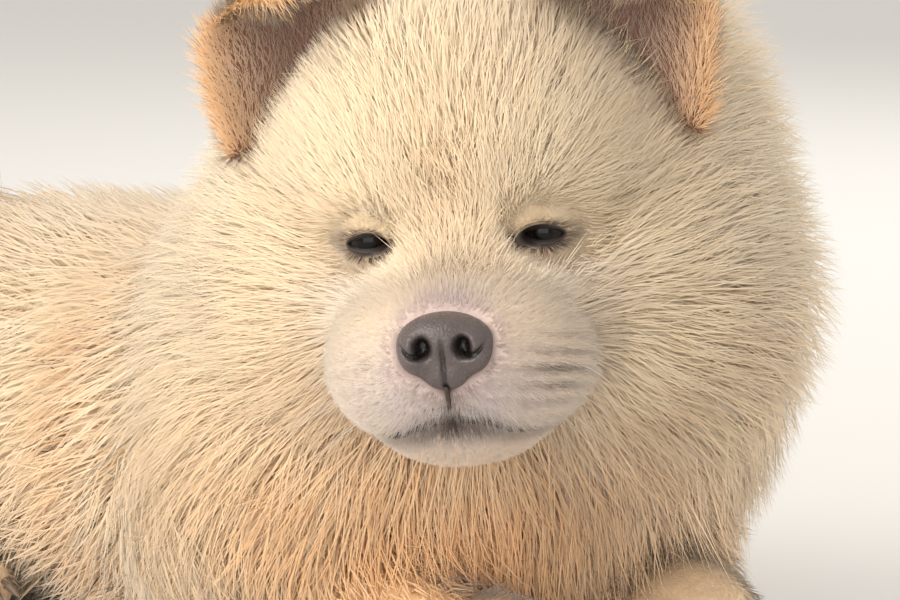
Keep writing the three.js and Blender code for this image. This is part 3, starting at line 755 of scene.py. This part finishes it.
def markings(points):
    """The shares of apricot, of the muzzle's white, of its grey-pink skin, and of dark brown; the apricot
    holds painted shade in the shoulder's crease and under the chin, and the dark brown is dark hair round
    the eyes and in whisker rows, with painted shade along the mouth, in the groove and round the lower part
    of the nose, and on the muzzle's left side.
    """
    at = in_head(points)
    mirrored = at.copy()
    mirrored[:, 0] = np.abs(at[:, 0])
    near_nose = np.maximum(nose_field(points), 0)
    middle = np.exp(-((at[:, 0] / 15) ** 2))
    # Darker along the mouth's line: dark lip hair, with painted shade where the upper lips overhang the jaw.
    near_lips = distance_to_line(points, lip_line[8:-8]) / (3.4 + 2.4 * middle)
    dusk = (0.6 + 0.35 * middle) * np.exp(-(near_lips**2))
    # Painted shade in the groove below the nose.
    dusk += 0.5 * np.exp(-((distance_to_line(points, groove_line) / 2.4) ** 2))
    # Painted shade round the lower part of the nose.
    dusk += 0.55 * np.exp(-((near_nose / 1.6) ** 2)) * (at[:, 2] < NOSE[2] + 6)
    for side in EYES:
        local = in_eye(points, side)
        outside = np.maximum(np.hypot(local[:, 0] / 1.9, local[:, 1] + 0.2) - 3.3, 0)
        inner_corner = 0.7 * spot(local[:, :2], [-8.5, -2.0], [3.6, 2.6])
        dusk += (np.exp(-((outside / 1.5) ** 2)) + inner_corner) * (local[:, 2] > -12)
    whisker_rows = 0.5 + 0.5 * np.sin((at[:, 2] + 0.25 * at[:, 1]) * 1.15)
    # Dark whisker rows, ten times stronger on the head's left side: that one-sided darkness is painted
    # shade, on the side away from the key light.
    streaks = spot(mirrored, [30, -66, -46], [11, 26, 10]) * (0.55 + 0.45 * np.sign(at[:, 0]))
    dusk += 1.3 * streaks * whisker_rows**1.6
    muzzle = spot(at, [0, -78, -50], [36, 34, 22])
    bridge = spot(at, [0, -84, -20], [13, 12, 7])
    lip_sides = sum(spot(at, [sign * 12, -80, -48], [9, 12, 7]) for sign in (1, -1))
    under_eye = sum(spot(at, [sign * 30, -46, -22], [15, 20, 9]) for sign in (1, -1))
    forehead = spot(at, [0, -48, 14], [14, 26, 24])
    # Apricot on the chest, deepened as painted shade under the chin.
    chest_and_shade = spot(points - HEAD_CENTRE, [-14, -10, -108], [84, 90, 46])
    # Painted shade: apricot in the crease between the ruff and the right shoulder.
    crease_shade = spot(points, [-74, -8, 80], [26, 20, 62])
    speckle = 0.5 + 0.5 * np.clip(ripple(points, 9, 9), -1, 1)
    grain = smooth(ripple(points, 3.6, 13), -0.2, 0.7)
    by_nose = np.exp(-((near_nose / 3.2) ** 2))
    away = smooth(np.linalg.norm(at, axis=1), 70, 150)
    apricot = 1.05 * chest_and_shade + 0.85 * crease_shade + 0.10 * away + 0.3 * forehead + 0.09 * ripple(points, 60, 3)
    pinkish = 1.1 * bridge + 0.95 * lip_sides * speckle + 0.6 * muzzle * grain + 0.8 * by_nose
    white = 1.25 * muzzle + 0.45 * under_eye
    shares = {"apricot": apricot, "white": white, "pinkish": pinkish, "dusk": dusk}
    return {key: np.clip(share, 0, 1) for key, share in shares.items()}


def roots_on(mesh, count, weight):
    """Places spread evenly over a mesh by area times weight, with the normals there."""
    mesh.calc_loop_triangles()
    corners = np.empty(len(mesh.loop_triangles) * 3, np.int32)
    mesh.loop_triangles.foreach_get("vertices", corners)
    corners = corners.reshape(-1, 3)
    points, normals = coordinates(mesh), vertex_normals(mesh)
    a, b, c = (points[corners[:, k]] for k in range(3))
    share = np.linalg.norm(np.cross(b - a, c - a), axis=1) * weight[corners].mean(1)
    due = np.cumsum(share) / share.sum() * count + rng.random()
    number = np.diff(np.floor(np.concatenate([[0], due]))).astype(int)
    chosen = np.repeat(np.arange(len(corners)), number)
    u, v = rng.random((2, len(chosen), 1))
    flip = u + v > 1
    u, v = np.where(flip, 1 - u, u), np.where(flip, 1 - v, v)
    place = a[chosen] + (b[chosen] - a[chosen]) * u + (c[chosen] - a[chosen]) * v
    at_a, at_b, at_c = (normals[corners[chosen, k]] for k in range(3))
    return place, unit(at_a * (1 - u - v) + at_b * u + at_c * v)


SEGMENT_STARTS = {1: [0], 2: [0, 0.45]}
PATCH = 0.003  # of the unwrap for each tuft
FLATNESS = 0.75  # a tuft's thickness over its width
LOWEST_TUFT = 0.4


def tuft_mesh(name, foot, bend, tip, width, soft_normal, segments, values, roundness):
    """Tapered three-sided tufts, each closed, on a bent line from foot to tip."""
    count = len(foot)
    starts = SEGMENT_STARTS[segments]
    corners, normals, alongs, patch = [], [], [], []
    for t in starts:
        middle = foot * (1 - t) ** 2 + bend * 2 * t * (1 - t) + tip * t**2
        tangent = unit((bend - foot) * (1 - t) + (tip - bend) * t)
        a = unit(np.cross(tangent, soft_normal))
        b = np.cross(tangent, a)
        radius = (width * (1 - 0.55 * t**1.5) / 2)[:, None]
        for spoke in np.arange(3) * 2 * math.pi / 3:
            out = a * math.cos(spoke) + b * math.sin(spoke) * FLATNESS
            corners.append(middle + out * radius)
            normals.append(unit(out * roundness + soft_normal))
            alongs.append(t)
            patch.append([math.cos(spoke) * (1 - t), math.sin(spoke) * (1 - t)])
    corners.append(tip)
    normals.append(unit(soft_normal + 0.3 * unit(tip - bend)))
    alongs.append(1)
    patch.append([0, 0])
    size = len(corners)
    faces = [[0, 2, 1]]
    for ring in range(len(starts) - 1):
        for i in range(3):
            low, high = 3 * ring + i, 3 * ring + (i + 1) % 3
            faces += [[low, high, high + 3], [low, high + 3, low + 3]]
    last = 3 * (len(starts) - 1)
    faces += [[last + i, last + (i + 1) % 3, size - 1] for i in range(3)]
    points = np.stack(corners, 1).reshape(-1, 3)
    points[:, 2] = np.maximum(points[:, 2], LOWEST_TUFT)
    triangles = (np.arange(count)[:, None, None] * size + np.array(faces)).reshape(-1, 3)
    mesh = bpy.data.meshes.new(name)
    mesh.vertices.add(len(points))
    mesh.vertices.foreach_set("co", (points * MM).astype(np.float32).ravel())
    mesh.loops.add(triangles.size)
    mesh.loops.foreach_set("vertex_index", triangles.astype(np.int32).ravel())
    mesh.polygons.add(len(triangles))
    mesh.polygons.foreach_set("loop_start", np.arange(0, triangles.size, 3, dtype=np.int32))
    mesh.update(calc_edges=True)
    mesh.polygons.foreach_set("use_smooth", np.ones(len(triangles), bool))
    mesh.normals_split_custom_set_from_vertices(np.stack(normals, 1).reshape(-1, 3).astype(np.float32))
    sheet = box_unwrap(foot, soft_normal, foot.min(0), foot.max(0))
    unwrap(mesh, (sheet[:, None] + np.array(patch) * PATCH / 2).reshape(-1, 2))
    add_float(mesh, "along", np.tile(alongs, count))
    for key, value in values.items():
        add_float(mesh, key, np.repeat(value, size))
    return mesh


CLUMP = 14  # tufts that draw together to one lock
SWAY, SWAY_SCALE = 0.22, 34  # how far the lie wanders to the sides, and over what length
STRAY, UNEVEN = 0.3, 0.10  # how far single tufts stray to the side, and how their lengths differ
SHORT_SHARE, SHORT_LENGTH = 0.25, 0.72  # some tufts are undercoat, and shorter
LOCK_WIDTH = 0.35  # how wide a lock's tips stand over its roots
OVER_FORM = 1.5  # how far a tip may stand over the outer form
BY_EYE = 3  # the greatest length of a tuft that would have crossed the eye
FINE = 1  # share of the tufts that are made
coat_pieces = []


def drawn_to_locks(root, tip, depth, pull):
    """The tips drawn part of the way to a leader's near them, with each tuft's own leader."""
    count = len(root)
    leaders = kdtree.KDTree(max(count // CLUMP, 1))
    for k in rng.permutation(count)[: max(count // CLUMP, 1)]:
        leaders.insert(Vector(root[k]), int(k))
    leaders.balance()
    own = np.array([leaders.find(Vector(place))[1] for place in root])
    apart = np.linalg.norm(root - root[own], axis=1)
    spread = (rng.uniform(0.4, 1.0, count) * pull * np.exp(-((apart / (3 + 0.4 * depth)) ** 2)))[:, None]
    return tip + (tip[own] + (root - root[own]) * LOCK_WIDTH - tip) * spread, own


def clear_of_eyes(root, tip, reach):
    """The tips, with those of tufts that cross an eye turned away from it."""
    for side in EYES:
        _, outward, upward, forward = eye_frame(side)
        from_middle = unit(in_eye(root, side) * [1, 1, 0])
        away = from_middle[:, :1] * outward + from_middle[:, 1:2] * upward + 0.5 * forward
        for share in (0.5, 0.75, 1.0):
            local = in_eye(root + (tip - root) * share, side)
            across, up = local[:, 0] / (OPENING_WIDE + 0.8), (local[:, 1] - 0.3) / (OPENING_UP + 0.6)
            over = (np.hypot(across, up) < 1.12) & (local[:, 2] > 0)
            tip = np.where(over[:, None], root + away * np.minimum(reach, BY_EYE)[:, None], tip)
    return tip


def grow_coat(
    name, slot, root, normal, flow, depth, *, segments, lean, width,
    pull=0.45, form=True, marks=None, roundness=0.1,
):
    """A piece of coat; lean is the tufts' rise over their run, and pull draws neighbours into locks."""
    count = len(root)
    lie = unit(flow - normal * (flow * normal).sum(1, keepdims=True))
    across = np.cross(normal, lie)
    sway = ripple(root, SWAY_SCALE, 5) * SWAY + rng.normal(0, STRAY, count)
    lie = unit(lie + across * sway[:, None])
    uneven = 1 + rng.normal(0, UNEVEN, count)
    reach = depth * uneven * np.where(rng.random(count) < SHORT_SHARE, SHORT_LENGTH, 1)
    tip = root + normal * reach[:, None] + lie * (reach / lean)[:, None]
    if form:
        outside, out = slope_of(tip, 1.0)
        rise = outside + np.maximum(depth - reach, -OVER_FORM)
        tip = tip - out * np.clip(rise, -0.6 * depth, 1.2 * depth)[:, None]
    tip, own = drawn_to_locks(root, tip, depth, pull)
    if form:
        outside, out = slope_of(tip, 1.0)
        tip = tip - out * np.clip(outside - OVER_FORM, 0, 30)[:, None]
    tip = clear_of_eyes(root, tip, reach)
    bend = root + normal * (reach * 0.62)[:, None] + (tip - root) * 0.26
    foot = root - normal
    near_lock = rng.random(count)[own]
    values = {"vary": 0.35 * rng.random(count) + 0.65 * near_lock, **(marks or markings(root))}
    wide = width / math.sqrt(FINE) * rng.uniform(0.7, 1.25, count)
    mesh = tuft_mesh(name, foot, bend, tip, wide, normal, segments, values, roundness)
    coat_pieces.append((link(name, mesh), slot))


LID_BARE = 12.4  # the lids' own plush takes over inside this radius
skin_depth = -flesh(skin_points, 1.0)
skin_group = apart_from_groups(skin_points).argmin(1)
seen = 0.55 + 0.45 * smooth(skin_normals @ TO_CAMERA, -0.3, 0.3)
floorward = smooth(skin_points[:, 2], 3, 12) * smooth(-skin_normals[:, 2], -1.0, -0.75)
bare = nose_field(skin_points) < 1.2
for side in EYES:
    local = in_eye(skin_points, side)
    bare |= (np.hypot(local[:, 0], local[:, 1]) < LID_BARE) & (local[:, 2] > -12)
growing = ~bare * np.where(skin_points[:, 2] < 30, floorward, 1)

leg_of = np.where(skin_group >= LEG_GROUPS, (skin_group - LEG_GROUPS) % GROUPS_A_SIDE, -1)
is_tail = skin_group == TAIL_GROUP
is_head = np.isin(skin_group, [HEAD_GROUP, JAW_GROUP])
is_neck = skin_group == NECK_GROUP
is_foreleg = (leg_of == 0) & ~is_tail
is_rear = ((leg_of == 1) | (leg_of == 2)) & ~is_tail
is_paw = (leg_of >= 3) & ~is_tail
is_plush = is_head & (skin_depth < 4.2)
is_long = is_head & (skin_depth >= 10)
is_crown = is_long & (in_head(skin_points)[:, 2] > 11)
is_left = in_head(skin_points)[:, 0] > 0
is_cheek = is_long & ~is_crown


def ear_clearance(points):
    """1 away from the ears, less in front of their cups."""
    near = sum(spot(in_head(points), [sign * 54, -16, 48], [26, 22, 26]) for sign in (1, -1))
    return 1 - 0.6 * np.clip(near, 0, 1)


def fine_depth(points):
    """The depth of the coat, less by the eyes, the nose and the lips."""
    depth = -flesh(points, 1.0) * ear_clearance(points)
    near_lips = distance_to_line(points, lip_line)
    depth = np.minimum(depth, 1.0 + 0.3 * near_lips + 40 * smooth(near_lips, 10, 24))
    for side in EYES:
        local = in_eye(points, side)
        radial = np.hypot(local[:, 0], local[:, 1])
        close = (1 - smooth(radial, 10, 24)) * (local[:, 2] > -14)
        depth = depth * (1 - close) + np.minimum(depth, 3.4) * close
    return np.maximum(depth, 1.2 + 1.6 * smooth(nose_field(points), 0, 14))


# (name, where, tufts, segments, rise over run, width at no depth, width for each mm of depth, roundness)
regions = [
    ("coat_muzzle", is_plush, 28000, 1, 0.5, 0.34, 0.02, 0.1),
    ("coat_face", is_head & ~is_plush & ~is_long, 13000, 2, 0.5, 0.38, 0.012, 0.1),
    ("coat_crown", is_crown, 16000, 2, 0.9, 0.42, 0.010, 0.1),
    ("coat_cheek_left", is_cheek & is_left, 16500, 2, 0.85, 0.42, 0.010, 0.1),
    ("coat_cheek_right", is_cheek & ~is_left, 16500, 2, 0.85, 0.42, 0.010, 0.1),
    ("coat_ruff_left", is_neck & is_left, 16000, 2, 0.95, 0.48, 0.012, 0.1),
    ("coat_ruff_right", is_neck & ~is_left, 15500, 2, 0.95, 0.48, 0.012, 0.1),
    ("coat_body", skin_group == TORSO_GROUP, 13000, 2, 0.6, 0.7, 0.022, 0.1),
    ("coat_forelegs", is_foreleg, 6000, 2, 0.55, 0.52, 0.02, 0.1),
    ("coat_paws", is_paw, 13000, 1, 0.45, 0.45, 0.03, 0.1),
    ("coat_hindquarters", is_rear, 5500, 2, 0.6, 0.85, 0.028, 0.1),
    ("coat_tail", is_tail, 5000, 2, 0.6, 0.55, 0.015, 0.8),
]
for name, where, count, segments, lean, thin, by_depth, roundness in regions:
    weight = growing * where * seen / (6 + np.maximum(skin_depth, 0))
    root, normal = roots_on(skin.data, int(count * FINE), weight)
    depth = fine_depth(root)
    grow_coat(
        name, "paw" if name == "coat_paws" else "coat", root, normal, coat_flow(root), depth,
        segments=segments, lean=lean, width=thin + by_depth * depth, roundness=roundness,
    )

# Short plush on the lids and the ears

LID_TUFTS, LID_TUFT_WIDTH = 3600, 0.5
EAR_TUFTS, EAR_TUFT_WIDTH = 12500, 0.55

for side, made in lid_pieces.items():
    mesh = made.data
    finish_surface(mesh)
    local = in_eye(coordinates(mesh), side)
    weight = smooth(np.hypot(local[:, 0] / OPENING_WIDE, local[:, 1] / OPENING_UP), 0.98, 1.3)
    root, normal = roots_on(mesh, int(LID_TUFTS * FINE), weight)
    local = in_eye(root, side)
    depth = 1.8 + 3.2 * smooth(np.hypot(local[:, 0], local[:, 1]), 5, 13)
    grow_coat(
        f"plush_lid_{side}", "coat", root, normal, coat_flow(root), depth,
        segments=1, lean=0.5, width=LID_TUFT_WIDTH, form=False,
    )

for side, made in ears.items():
    mesh = made.data
    finish_surface(mesh)
    inner, across, along = (get_float(mesh, key) for key in ("inner", "across", "along"))
    cup_weight = 0.7 + 0.9 * smooth(np.abs(across), 0.6, 0.95) + 0.5 * smooth(along, 0.5, 0.8)
    root, normal = roots_on(mesh, int(EAR_TUFTS * FINE), np.where(inner > 0.5, cup_weight, 0.9))
    points = coordinates(mesh)
    finder = kdtree.KDTree(len(points))
    for k, place in enumerate(points):
        finder.insert(Vector(place), k)
    finder.balance()
    nearest = np.array([finder.find(Vector(place))[1] for place in root])
    inside, across, along = inner[nearest] > 0.5, across[nearest], along[nearest]
    here = ear_surface(SIGNS[side], across, along)
    ahead = ear_surface(SIGNS[side], across, np.minimum(along + 0.03, 1.0))
    beside = ear_surface(SIGNS[side], across * 1.06, along)
    upward = unit(ahead - here + 1e-6) + 0.9 * (across**2)[:, None] * unit(beside - here + 1e-6)
    sideways = np.abs(across)
    depth = np.where(inside, 3.4 + 3.0 * sideways**3, 4.6)
    marks = {
        "apricot": np.where(inside, 0.75 + 0.2 * sideways, 0.8),
        "white": np.zeros(len(root)),
        "pinkish": np.where(inside, 0.6 * (1 - sideways**2), 0),
        "dusk": np.where(inside, 0.55 * np.exp(-((across / 0.6) ** 2)), 0),
    }
    grow_coat(
        f"plush_ear_{side}", "ear_fur", root, normal, upward @ HEAD_TURN.T, depth,
        segments=1, lean=0.6, width=EAR_TUFT_WIDTH, pull=0.2, form=False, marks=marks,
    )

# Claws and whiskers

CLAW_LENGTH, CLAW_WIDE, CLAW_TIP = 10, 2.5, 0.5
CLAW_TILT = math.radians(116)
CLAW_PLACE = np.array([0, -17.5, 0.5])  # from the middle of the toe

bm = bmesh.new()
for forepaw, hindpaw in zip(FOREPAWS, HINDPAWS):
    for toe in toe_places(forepaw, *FOREPAW_TOES) + toe_places(hindpaw, *HINDPAW_TOES):
        place = Matrix.Translation(Vector((np.array(toe) + SHIFT + CLAW_PLACE) * MM))
        bmesh.ops.create_cone(
            bm, cap_ends=True, segments=12, radius1=CLAW_WIDE * MM, radius2=CLAW_TIP * MM,
            depth=CLAW_LENGTH * MM, matrix=place @ Matrix.Rotation(CLAW_TILT, 4, "X"),
        )
claws = smooth_piece(bm, "claws")

WHISKER_ROWS, WHISKER_COLUMNS = 3, 4
WHISKER_STEPS = 9
WHISKER_RADIUS, WHISKER_TAPER = 0.2, 0.85


def on_skin(start, direction):
    """Where a line from inside the flesh leaves it."""
    line = start + np.outer(np.arange(0, 60, 0.25), direction)
    return line[np.argmax(flesh(line) > -0.8)]


bm = bmesh.new()
t = np.linspace(0, 1, WHISKER_STEPS)[:, None]
for sign in SIGNS.values():
    for row in range(WHISKER_ROWS):
        for column in range(WHISKER_COLUMNS):
            out = unit(np.array([sign, -0.25 + 0.2 * column, -0.05 - 0.2 * row]))
            inside = from_head([sign * 12, -62 + 5 * column, -44 - 4.5 * row])
            start = on_skin(inside, unit(HEAD_TURN @ out))
            direction = unit(HEAD_TURN @ (out + rng.normal(0, 0.07, 3)))
            length, droop = rng.uniform(18, 30), rng.uniform(0.3, 0.6)
            path = start + direction * length * t + DOWN * droop * length * t * t
            tube(bm, path, WHISKER_RADIUS * (1 - WHISKER_TAPER * t[:, 0]), 4, [0.2, 0.3, 1.0], direction)
whiskers = smooth_piece(bm, "whiskers")

# The markings of the skin and lids, with their painted shade

finish_surface(skin.data)
for made in (skin, *lid_pieces.values()):
    for key, value in markings(coordinates(made.data)).items():
        add_float(made.data, key, value)

# Materials

CREAM = (0.97, 0.77, 0.53)
PALE = (0.97, 0.84, 0.64)
# Painted shade deep in the coat: the colour each tuft darkens to at its root.
ROOT_SHADE = (0.95, 0.73, 0.48)
# Apricot for the markings, and for the painted shade in the shoulder's crease and under the chin.
APRICOT = (0.93, 0.52, 0.25)
LIGHT_APRICOT = (0.95, 0.62, 0.36)
WHITE = (0.94, 0.91, 0.88)
PINKISH = (0.47, 0.31, 0.29)
# Dark brown for dark hair, and for the painted shade about the mouth, the nose and the muzzle's left side.
DUSK = (0.075, 0.050, 0.042)


def material(name, **sockets):
    made = bpy.data.materials.new(name)
    made.use_nodes = True
    shader = made.node_tree.nodes["Principled BSDF"]
    for key, value in sockets.items():
        shader.inputs[key.replace("_", " ")].default_value = value
    return made, made.node_tree, shader


def attribute(tree, name):
    node = tree.nodes.new("ShaderNodeAttribute")
    node.attribute_name = name
    return node.outputs["Fac"]


def feed(tree, socket, value):
    """A link from another socket, or a value of its own."""
    if isinstance(value, bpy.types.NodeSocket):
        tree.links.new(value, socket)
    else:
        socket.default_value = (*value, 1) if isinstance(value, tuple) else value


def mix_colour(tree, factor, first, second):
    node = tree.nodes.new("ShaderNodeMix")
    node.data_type = "RGBA"
    sockets = (node.inputs["Factor"], node.inputs[6], node.inputs[7])
    for socket, value in zip(sockets, (factor, first, second)):
        feed(tree, socket, value)
    return node.outputs[2]


def maths(tree, operation, *values):
    node = tree.nodes.new("ShaderNodeMath")
    node.operation = operation
    for socket, value in zip(node.inputs, values):
        feed(tree, socket, value)
    return node.outputs[0]


NOISE, CELLS = "ShaderNodeTexNoise", "ShaderNodeTexVoronoi"


def pattern(tree, kind, scale):
    """The value of a texture on the piece's own coordinates."""
    place = tree.nodes.new("ShaderNodeTexCoord")
    node = tree.nodes.new(kind)
    feed(tree, node.inputs["Scale"], scale)
    tree.links.new(place.outputs["Object"], node.inputs["Vector"])
    return node.outputs[0]


def bump(tree, height, strength, distance):
    node = tree.nodes.new("ShaderNodeBump")
    for key, value in (("Height", height), ("Strength", strength), ("Distance", distance)):
        feed(tree, node.inputs[key], value)
    return node.outputs["Normal"]


def node_group(name, inputs, **outputs):
    """A new node group, with the sockets inside it."""
    tree = bpy.data.node_groups.new(name, "ShaderNodeTree")
    for key in inputs:
        tree.interface.new_socket(key, in_out="INPUT", socket_type="NodeSocketFloat")
    for key, kind in outputs.items():
        tree.interface.new_socket(key, in_out="OUTPUT", socket_type=f"NodeSocket{kind}")
    return tree, tree.nodes.new("NodeGroupInput").outputs, tree.nodes.new("NodeGroupOutput").inputs


def place_group(tree, group, values):
    node = tree.nodes.new("ShaderNodeGroup")
    node.node_tree = group
    for key, value in values.items():
        feed(tree, node.inputs[key], value)
    return node.outputs


COAT_SOCKETS = ("Apricot", "White", "Pinkish", "Dusk", "Along", "Vary")


def coat_colours():
    """A node group that gives the coat's colour from its markings and the place along a tuft, with painted
    shade towards the tufts' roots.
    """
    tree, inputs, outputs = node_group("coat_colours", COAT_SOCKETS, Color="Color")
    # Each tuft darkens towards its root: painted shade deep in the coat.
    body = mix_colour(tree, maths(tree, "SUBTRACT", 1.0, inputs["Along"]), CREAM, ROOT_SHADE)
    body = mix_colour(tree, maths(tree, "MULTIPLY", inputs["Along"], inputs["Vary"]), body, PALE)
    warm = mix_colour(tree, inputs["Vary"], APRICOT, LIGHT_APRICOT)
    body = mix_colour(tree, inputs["Apricot"], body, warm)
    white = mix_colour(tree, inputs["Along"], PINKISH, WHITE)
    body = mix_colour(tree, inputs["White"], body, white)
    pink = mix_colour(tree, maths(tree, "MULTIPLY", inputs["Along"], 0.55), PINKISH, WHITE)
    body = mix_colour(tree, inputs["Pinkish"], body, pink)
    tree.links.new(mix_colour(tree, inputs["Dusk"], body, DUSK), outputs["Color"])
    return tree


def fine_relief():
    """A node group that gives a fine noise on the piece, and the normal of the relief it makes."""
    tree, inputs, outputs = node_group(
        "fine_relief", ("Scale", "Strength", "Distance"), Shade="Float", Normal="Vector"
    )
    shade = pattern(tree, NOISE, inputs["Scale"])
    tree.links.new(shade, outputs["Shade"])
    tree.links.new(bump(tree, shade, inputs["Strength"], inputs["Distance"]), outputs["Normal"])
    return tree


coat_group, relief_group = coat_colours(), fine_relief()


def coat_colour(tree, **given):
    """The coat's colour; what isn't given comes from the piece's own attributes."""
    values = {}
    for key in COAT_SOCKETS:
        own = key.lower()
        values[key] = given[own] if own in given else attribute(tree, own)
    return place_group(tree, coat_group, values)["Color"]


def roughen(tree, shader, scale, strength, distance):
    """Fine relief on a shader; gives the noise that makes it."""
    made = place_group(tree, relief_group, {"Scale": scale, "Strength": strength, "Distance": distance})
    tree.links.new(made["Normal"], shader.inputs["Normal"])
    return made["Shade"]


def paint(tree, shader, colour):
    tree.links.new(colour, shader.inputs["Base Color"])


SOFT = {"Roughness": 0.75, "Sheen_Weight": 0.4, "Sheen_Roughness": 0.5, "Specular_IOR_Level": 0.25}
fur, tree, shader = material("fur", **SOFT)
paint(tree, shader, coat_colour(tree))

hide, tree, shader = material("hide", Roughness=0.8, Specular_IOR_Level=0.2)
# The skin takes the colour halfway along a tuft, and with it half of the painted shade of the roots.
paint(tree, shader, coat_colour(tree, along=0.5, vary=0.3))
roughen(tree, shader, 900, 0.4, 0.0006)

LEATHER_DARK = (0.060, 0.046, 0.047)
LEATHER_LIGHT = (0.125, 0.098, 0.098)
# Painted shade for the nose's hollows.
NOSE_HOLLOW_SHADE = (0.006, 0.004, 0.004)
leather, tree, shader = material("nose_leather", Roughness=0.38, Coat_Weight=0.25, Coat_Roughness=0.25)
tree.links.new(bump(tree, pattern(tree, CELLS, 900), 0.55, 0.0005), shader.inputs["Normal"])
mottled = mix_colour(tree, pattern(tree, NOISE, 160), LEATHER_DARK, LEATHER_LIGHT)
paint(tree, shader, mix_colour(tree, attribute(tree, "dark"), mottled, NOSE_HOLLOW_SHADE))

PUPIL_RADIUS, IRIS_RADIUS = 3.4, 6.3
PUPIL_COLOUR = (0.002, 0.002, 0.002)
IRIS_DARK = (0.006, 0.003, 0.002)
IRIS_LIGHT = (0.018, 0.009, 0.005)
ROUND_IRIS = (0.010, 0.007, 0.006)
wet, tree, shader = material("eye_wet", Roughness=0.08, IOR=1.36, Specular_IOR_Level=0.35)
from_pupil = attribute(tree, "from_pupil")
iris = mix_colour(tree, pattern(tree, NOISE, 2500), IRIS_DARK, IRIS_LIGHT)
iris = mix_colour(tree, maths(tree, "GREATER_THAN", from_pupil, IRIS_RADIUS), iris, ROUND_IRIS)
paint(tree, shader, mix_colour(tree, maths(tree, "LESS_THAN", from_pupil, PUPIL_RADIUS), iris, PUPIL_COLOUR))

RIM_DARK = (0.018, 0.012, 0.010)
lid_skin, tree, shader = material("lid_skin", Roughness=0.5)
# The lids take the colour near a tuft's root, and with it most of the painted shade of the roots.
lid_colour = coat_colour(tree, along=0.15, vary=0.2)
paint(tree, shader, mix_colour(tree, attribute(tree, "rim"), lid_colour, RIM_DARK))
roughen(tree, shader, 1200, 0.3, 0.0004)

LIP_DARK, LIP_LIGHT = (0.016, 0.010, 0.009), (0.055, 0.034, 0.030)
lip_skin, tree, shader = material("lip_skin", Roughness=0.4, Coat_Weight=0.2)
paint(tree, shader, mix_colour(tree, roughen(tree, shader, 500, 0.5, 0.0006), LIP_DARK, LIP_LIGHT))

EAR_BACK = (0.52, 0.28, 0.12)
CUP_DARK, CUP_LIGHT = (0.20, 0.095, 0.065), (0.34, 0.18, 0.13)
ear_skin, tree, shader = material("ear_skin", Roughness=0.7)
cup = mix_colour(tree, roughen(tree, shader, 300, 0.4, 0.0006), CUP_DARK, CUP_LIGHT)
paint(tree, shader, mix_colour(tree, attribute(tree, "inner"), EAR_BACK, cup))

HORN_DARK, HORN_LIGHT = (0.14, 0.10, 0.08), (0.30, 0.23, 0.18)
horn, tree, shader = material("claw_horn", Roughness=0.35)
paint(tree, shader, mix_colour(tree, roughen(tree, shader, 400, 0.3, 0.0004), HORN_DARK, HORN_LIGHT))

BRISTLE_PALE, BRISTLE_DARK = (0.75, 0.68, 0.60), (0.42, 0.34, 0.28)
bristle, tree, shader = material("bristle", Roughness=0.45)
paint(tree, shader, mix_colour(tree, pattern(tree, NOISE, 460), BRISTLE_PALE, BRISTLE_DARK))

# Each piece's material, body and the nodes that it stands for

PAIRED = ("forepaw", "foreleg", "thigh", "hindleg", "hindpaw")
FLESH_NODES = ["head", "lower_jaw", "neck", "torso", "tail"]
FLESH_NODES += [f"{part}_{side}" for side in EYES for part in PAIRED]


def finish_piece(made, finish, slot, *nodes):
    made.data.materials.clear()
    made.data.materials.append(finish)
    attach(made, "root")
    if nodes:
        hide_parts(*nodes)


finish_piece(skin, hide, "coat", *FLESH_NODES)
for made, slot in coat_pieces:
    finish_piece(made, fur, slot)
for side in EYES:
    finish_piece(eye_pieces[side], wet, "eye", f"eye_{side}")
    finish_piece(lid_pieces[side], lid_skin, "coat")
    finish_piece(ears[side], ear_skin, "ear_fur", f"ear_{side}")
finish_piece(nose_piece, leather, "nose", "nose")
for made in mouth_pieces:
    finish_piece(made, lip_skin, "nose")
finish_piece(claws, horn, "paw")
finish_piece(whiskers, bristle, "coat")

# A pale floor and soft studio light

FLOOR_SIZE = 6
FLOOR_COLOUR = (0.78, 0.77, 0.75)
SURROUND_COLOUR, SURROUND_STRENGTH = (1.0, 0.96, 0.91), 0.78

bm = bmesh.new()
bmesh.ops.create_grid(bm, x_segments=1, y_segments=1, size=FLOOR_SIZE)
floor = link("floor", mesh_from(bm, "floor"))
pale, tree, shader = material("studio_floor", Roughness=0.9)
feed(tree, shader.inputs["Base Color"], FLOOR_COLOUR)
floor.data.materials.append(pale)


def soft_light(name, side, up, front, size, power, colour):
    """An area light placed as the camera sees it, in metres from the head that it is aimed at."""
    data = bpy.data.lights.new(name, "AREA")
    data.size = size
    data.energy = power
    data.color = colour
    made = bpy.data.objects.new(name, data)
    offset = Vector(RIGHTWARD * side + UPWARD * up + TO_CAMERA * front)
    made.location = Vector(HEAD_CENTRE * MM) + offset
    made.rotation_euler = (-offset).to_track_quat("-Z", "Y").to_euler()
    bpy.context.scene.collection.objects.link(made)


soft_light("key", -1.5, 1.1, 1.2, 1.5, 34, (1.0, 0.93, 0.83))
soft_light("front", -0.5, -0.5, 2.0, 1.8, 26, (1.0, 0.95, 0.88))
soft_light("fill", 1.6, 0.4, 1.4, 1.8, 2, (0.92, 0.95, 1.0))
soft_light("back", 0.6, 1.4, -1.4, 1.2, 12, (1.0, 0.97, 0.93))
world = bpy.data.worlds.new("studio")
world.use_nodes = True
surround = world.node_tree.nodes["Background"].inputs
feed(world.node_tree, surround["Color"], SURROUND_COLOUR)
feed(world.node_tree, surround["Strength"], SURROUND_STRENGTH)
bpy.context.scene.world = world
bpy.context.scene.view_settings.view_transform = "Standard"
